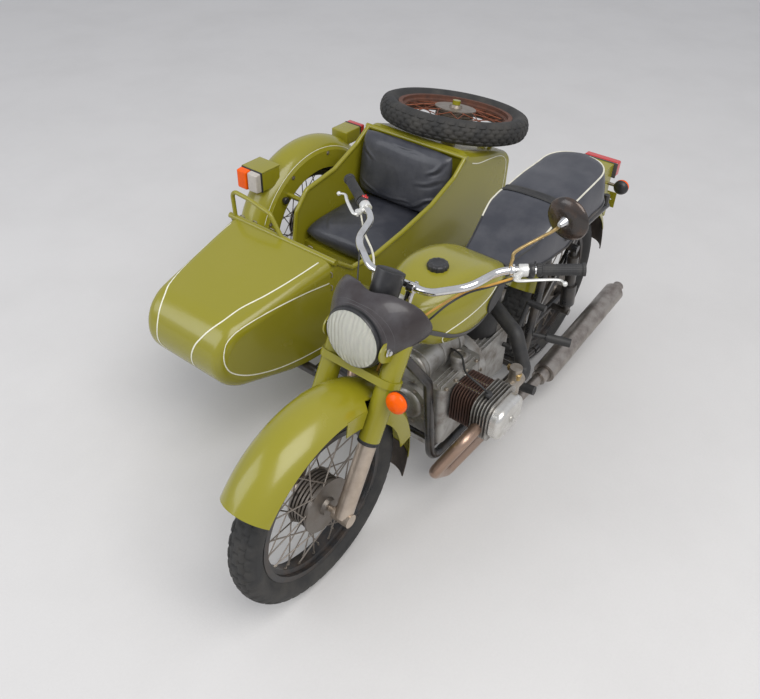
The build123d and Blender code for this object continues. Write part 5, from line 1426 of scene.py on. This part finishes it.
# Small fittings of the tank, the engine and the sidecar
CYLINDERS = ((1, 880), (-1, 850))  # side and x
CASE_TOP = 499.5
CASE_SIDE = 124.8
GENERATOR_Z = 545
FRONT_COVER_Z = 400
COVER_BOLT_RADIUS = 350
DECK_FRONT = (1239.5, 621.8)  # x and height where the sloping deck ends
STAPLE_X = 838


def bolt_ring(x, z, radius, angles):
    """Places on a circle that faces forward."""
    return np.stack([np.full(len(angles), x), radius * np.cos(angles), z + radius * np.sin(angles)], -1)


class SIDECAR_OT_fittings(bpy.types.Operator):
    """Makes the filler cap, the engine's plugs and bolts, and the sidecar's fittings"""
    bl_idname = "sidecar.fittings"
    bl_label = "Fittings"

    def execute(self, context):
        cap = lathe("ribbed_filler_cap", (888, 0, 866.3), UP, [
            (0, 24), (1.5, 31.5), (5, 32.6), (17, 32.6), (22, 30.5), (24.5, 26), (24.8, 22),
            (23.2, 19.5), (22.6, 10), (22.4, 0.5)], "plastic", 144, lobes=12, lobe_depth=0.035)
        finish(cap, "chassis", "black_plastic", "filler_cap")
        self.engine()
        self.castings()
        self.staples()
        self.wheel_cover()
        return {"FINISHED"}

    def engine(self):
        """Plug caps and leads, cover nuts, union nuts and choke caps on both sides."""
        made = []
        for side, x in CYLINDERS:
            foot = np.array([x + 26, side * 238, 492])
            way = unit((0.3, side * 0.12, 1))
            made.append(lathe(f"plug_{side}", foot, way, [
                (0, 8), (6, 8), (6, 11), (16, 11.5), (20, 13), (30, 13), (33, 10), (34, 0.5)],
                "plastic", 28))
            top = foot + way * 30
            lead = smooth_line([top, top + (16, side * -20, 30), top + (14, side * -80, 52),
                                (870, side * 108, 572), (852, side * 62, 566), (846, side * 30, 552)], 60)
            made.append(tube(f"plug_lead_{side}", lead, 3.4, "rubber", 10))
            made.append(bolts(f"cover_nut_{side}", [(x, side * 318.2, 430)], (0, side, 0), 9, 9,
                              "polished"))
            carburettor_x = x - 125
            made.append(lathe(f"union_{side}", (carburettor_x, side * 226, 504), UP, [
                (0, 6), (8, 6), (8, 9), (14, 9), (14, 6), (20, 6), (20, 0.5)], "brass", 6))
            made.append(lathe(f"choke_cap_{side}", (carburettor_x + 4, side * 262, 486), UP, [
                (0, 11), (12, 11), (15, 13), (22, 13), (24, 10), (24, 0.5)], "brass", 24))
        finish(join("engine_fittings", made), "chassis", "plated_steel")

    def castings(self):
        """Ribs, bolts and caps that stand on the crankcase, its front cover and gearbox."""
        made = []
        for side in SIDES:
            for k, y in enumerate((70, 86, 102)):
                low, high = sorted((side * y, side * (y + 4)))
                inwards = side * 26
                made.append(rounded_block(f"top_rib_{side}_{k}", (770, low, 497), (972, high, 509),
                                          1.6, "aluminium"))
                made.append(rounded_block(f"box_rib_{side}_{k}", (505, low - inwards, 467),
                                          (725, high - inwards, 477), 1.6, "aluminium"))
            edge = [(x, side * 117, CASE_TOP) for x in (782, 845, 908, 962)]
            made.append(bolts(f"top_bolts_{side}", edge, UP, 5.5, 7, "plated"))
            seam = [(759, side * CASE_SIDE, z) for z in (300, 350, 400, 450)]
            made.append(bolts(f"seam_bolts_{side}", seam, (0, side, 0), 5.5, 7, "plated"))
        for x in (792, 880, 966):
            made.append(lathe(f"generator_band_{x}", (x, 0, GENERATOR_Z), AHEAD, [
                (0, 57), (0, 61.5), (1, 62.5), (7, 62.5), (8, 61.5), (8, 57)], "aluminium", 64))
        made.append(lathe("generator_cap", (989, 0, GENERATOR_Z), AHEAD, [
            (0, 56), (4, 55), (10, 48), (12, 40), (12, 24), (17, 22), (19, 16), (19, 0.5)],
            "aluminium", 64))
        made.append(lathe("front_cover_dome", (1002, 0, FRONT_COVER_Z), AHEAD, [
            (0, 58), (4, 56), (9, 46), (11, 30), (11, 0.5)], "aluminium", 64))
        eight = np.radians(np.arange(22.5, 360, 45))
        made.append(bolts("front_cover_bolts", bolt_ring(1002.6, FRONT_COVER_Z, 70, eight), AHEAD,
                          5.0, 6, "plated"))
        made.append(bolts("generator_bolts", bolt_ring(992.0, GENERATOR_Z, 47, eight[::2]), AHEAD,
                          4.5, 8, "plated"))
        made.append(lathe("round_cap_neck", (850, 88, 498), UP, [
            (0, 27), (6, 25), (44, 24), (44, 29), (58, 29), (62, 26), (63, 20), (59, 17), (59, 0.5)],
            "aluminium", 60, lobes=20, lobe_depth=0.01))
        finish(join("engine_castings", made), "chassis", "bare_aluminium")

    def staples(self):
        """Bent wire staples for a cover, along the cockpit's front edge and left side."""
        height = DECK_FRONT[1] + (DECK_FRONT[0] - STAPLE_X) * DECK_SLOPE
        deck = [(STAPLE_X, y, height) for y in (-902, -836, -749, -561)]
        bend = np.array([(0, -10, -3), (0, -9, 4), (0, -6, 6), (0, 6, 6), (0, 9, 4), (0, 10, -3)], float)
        made = [tube(f"deck_staple_{k}", np.array(point) + bend, 1.7, "plated", 8)
                for k, point in enumerate(deck)]
        turned = bend[:, [0, 2, 1]]
        made += [tube(f"side_staple_{k}", np.array((867, -441.5, z)) + turned, 1.7, "plated", 8)
                 for k, z in enumerate((647, 593))]
        finish(join("tonneau_staples", made), "chassis", "plated_steel")

    def wheel_cover(self):
        """A knob and a ring of bolts on the mudguard's inner wall."""
        knob = lathe("wheel_cover_knob", (470, -1049.5, 568), (0, 1, 0), [
            (0, 9), (6, 9), (6, 13), (9, 15), (18, 15), (21, 12), (22, 0.5)], "plastic", 32)
        finish(knob, "chassis", "black_plastic")
        ring = np.radians(np.array([25, 62, 100, 138, 172]))
        feet = round_sidecar_axle(COVER_BOLT_RADIUS, GUARD_WALL_Y - 0.6, ring)
        finish(bolts("wheel_cover_bolts", feet, LEFT, 6, 5, "plated"), "chassis", "plated_steel")


# Panel and registration
OPERATORS = (SIDECAR_OT_finishes, SIDECAR_OT_stage, SIDECAR_OT_tyres, SIDECAR_OT_saddle,
             SIDECAR_OT_sidecar_seat, SIDECAR_OT_headlamp, SIDECAR_OT_controls, SIDECAR_OT_lamps,
             SIDECAR_OT_lines, SIDECAR_OT_fittings)


class SIDECAR_PT_panel(bpy.types.Panel):
    """Lists the steps that dress the machine"""
    bl_label = "Sidecar motorcycle"
    bl_idname = "SIDECAR_PT_panel"
    bl_space_type = "VIEW_3D"
    bl_region_type = "UI"
    bl_category = "Sidecar"

    def draw(self, context):
        for operator in OPERATORS:
            self.layout.operator(operator.bl_idname)


CLASSES = (SidecarColours, SidecarSizes, *OPERATORS, SIDECAR_PT_panel)


def register():
    for made in CLASSES:
        bpy.utils.register_class(made)
    bpy.types.Scene.sidecar_colours = bpy.props.PointerProperty(type=SidecarColours)
    bpy.types.Scene.sidecar_sizes = bpy.props.PointerProperty(type=SidecarSizes)


def unregister():
    del bpy.types.Scene.sidecar_sizes
    del bpy.types.Scene.sidecar_colours
    for made in reversed(CLASSES):
        bpy.utils.unregister_class(made)


def main():
    register()
    for operator in OPERATORS:
        group, step = operator.bl_idname.split(".")
        getattr(getattr(bpy.ops, group), step)()


if __name__ == "__main__":
    main()
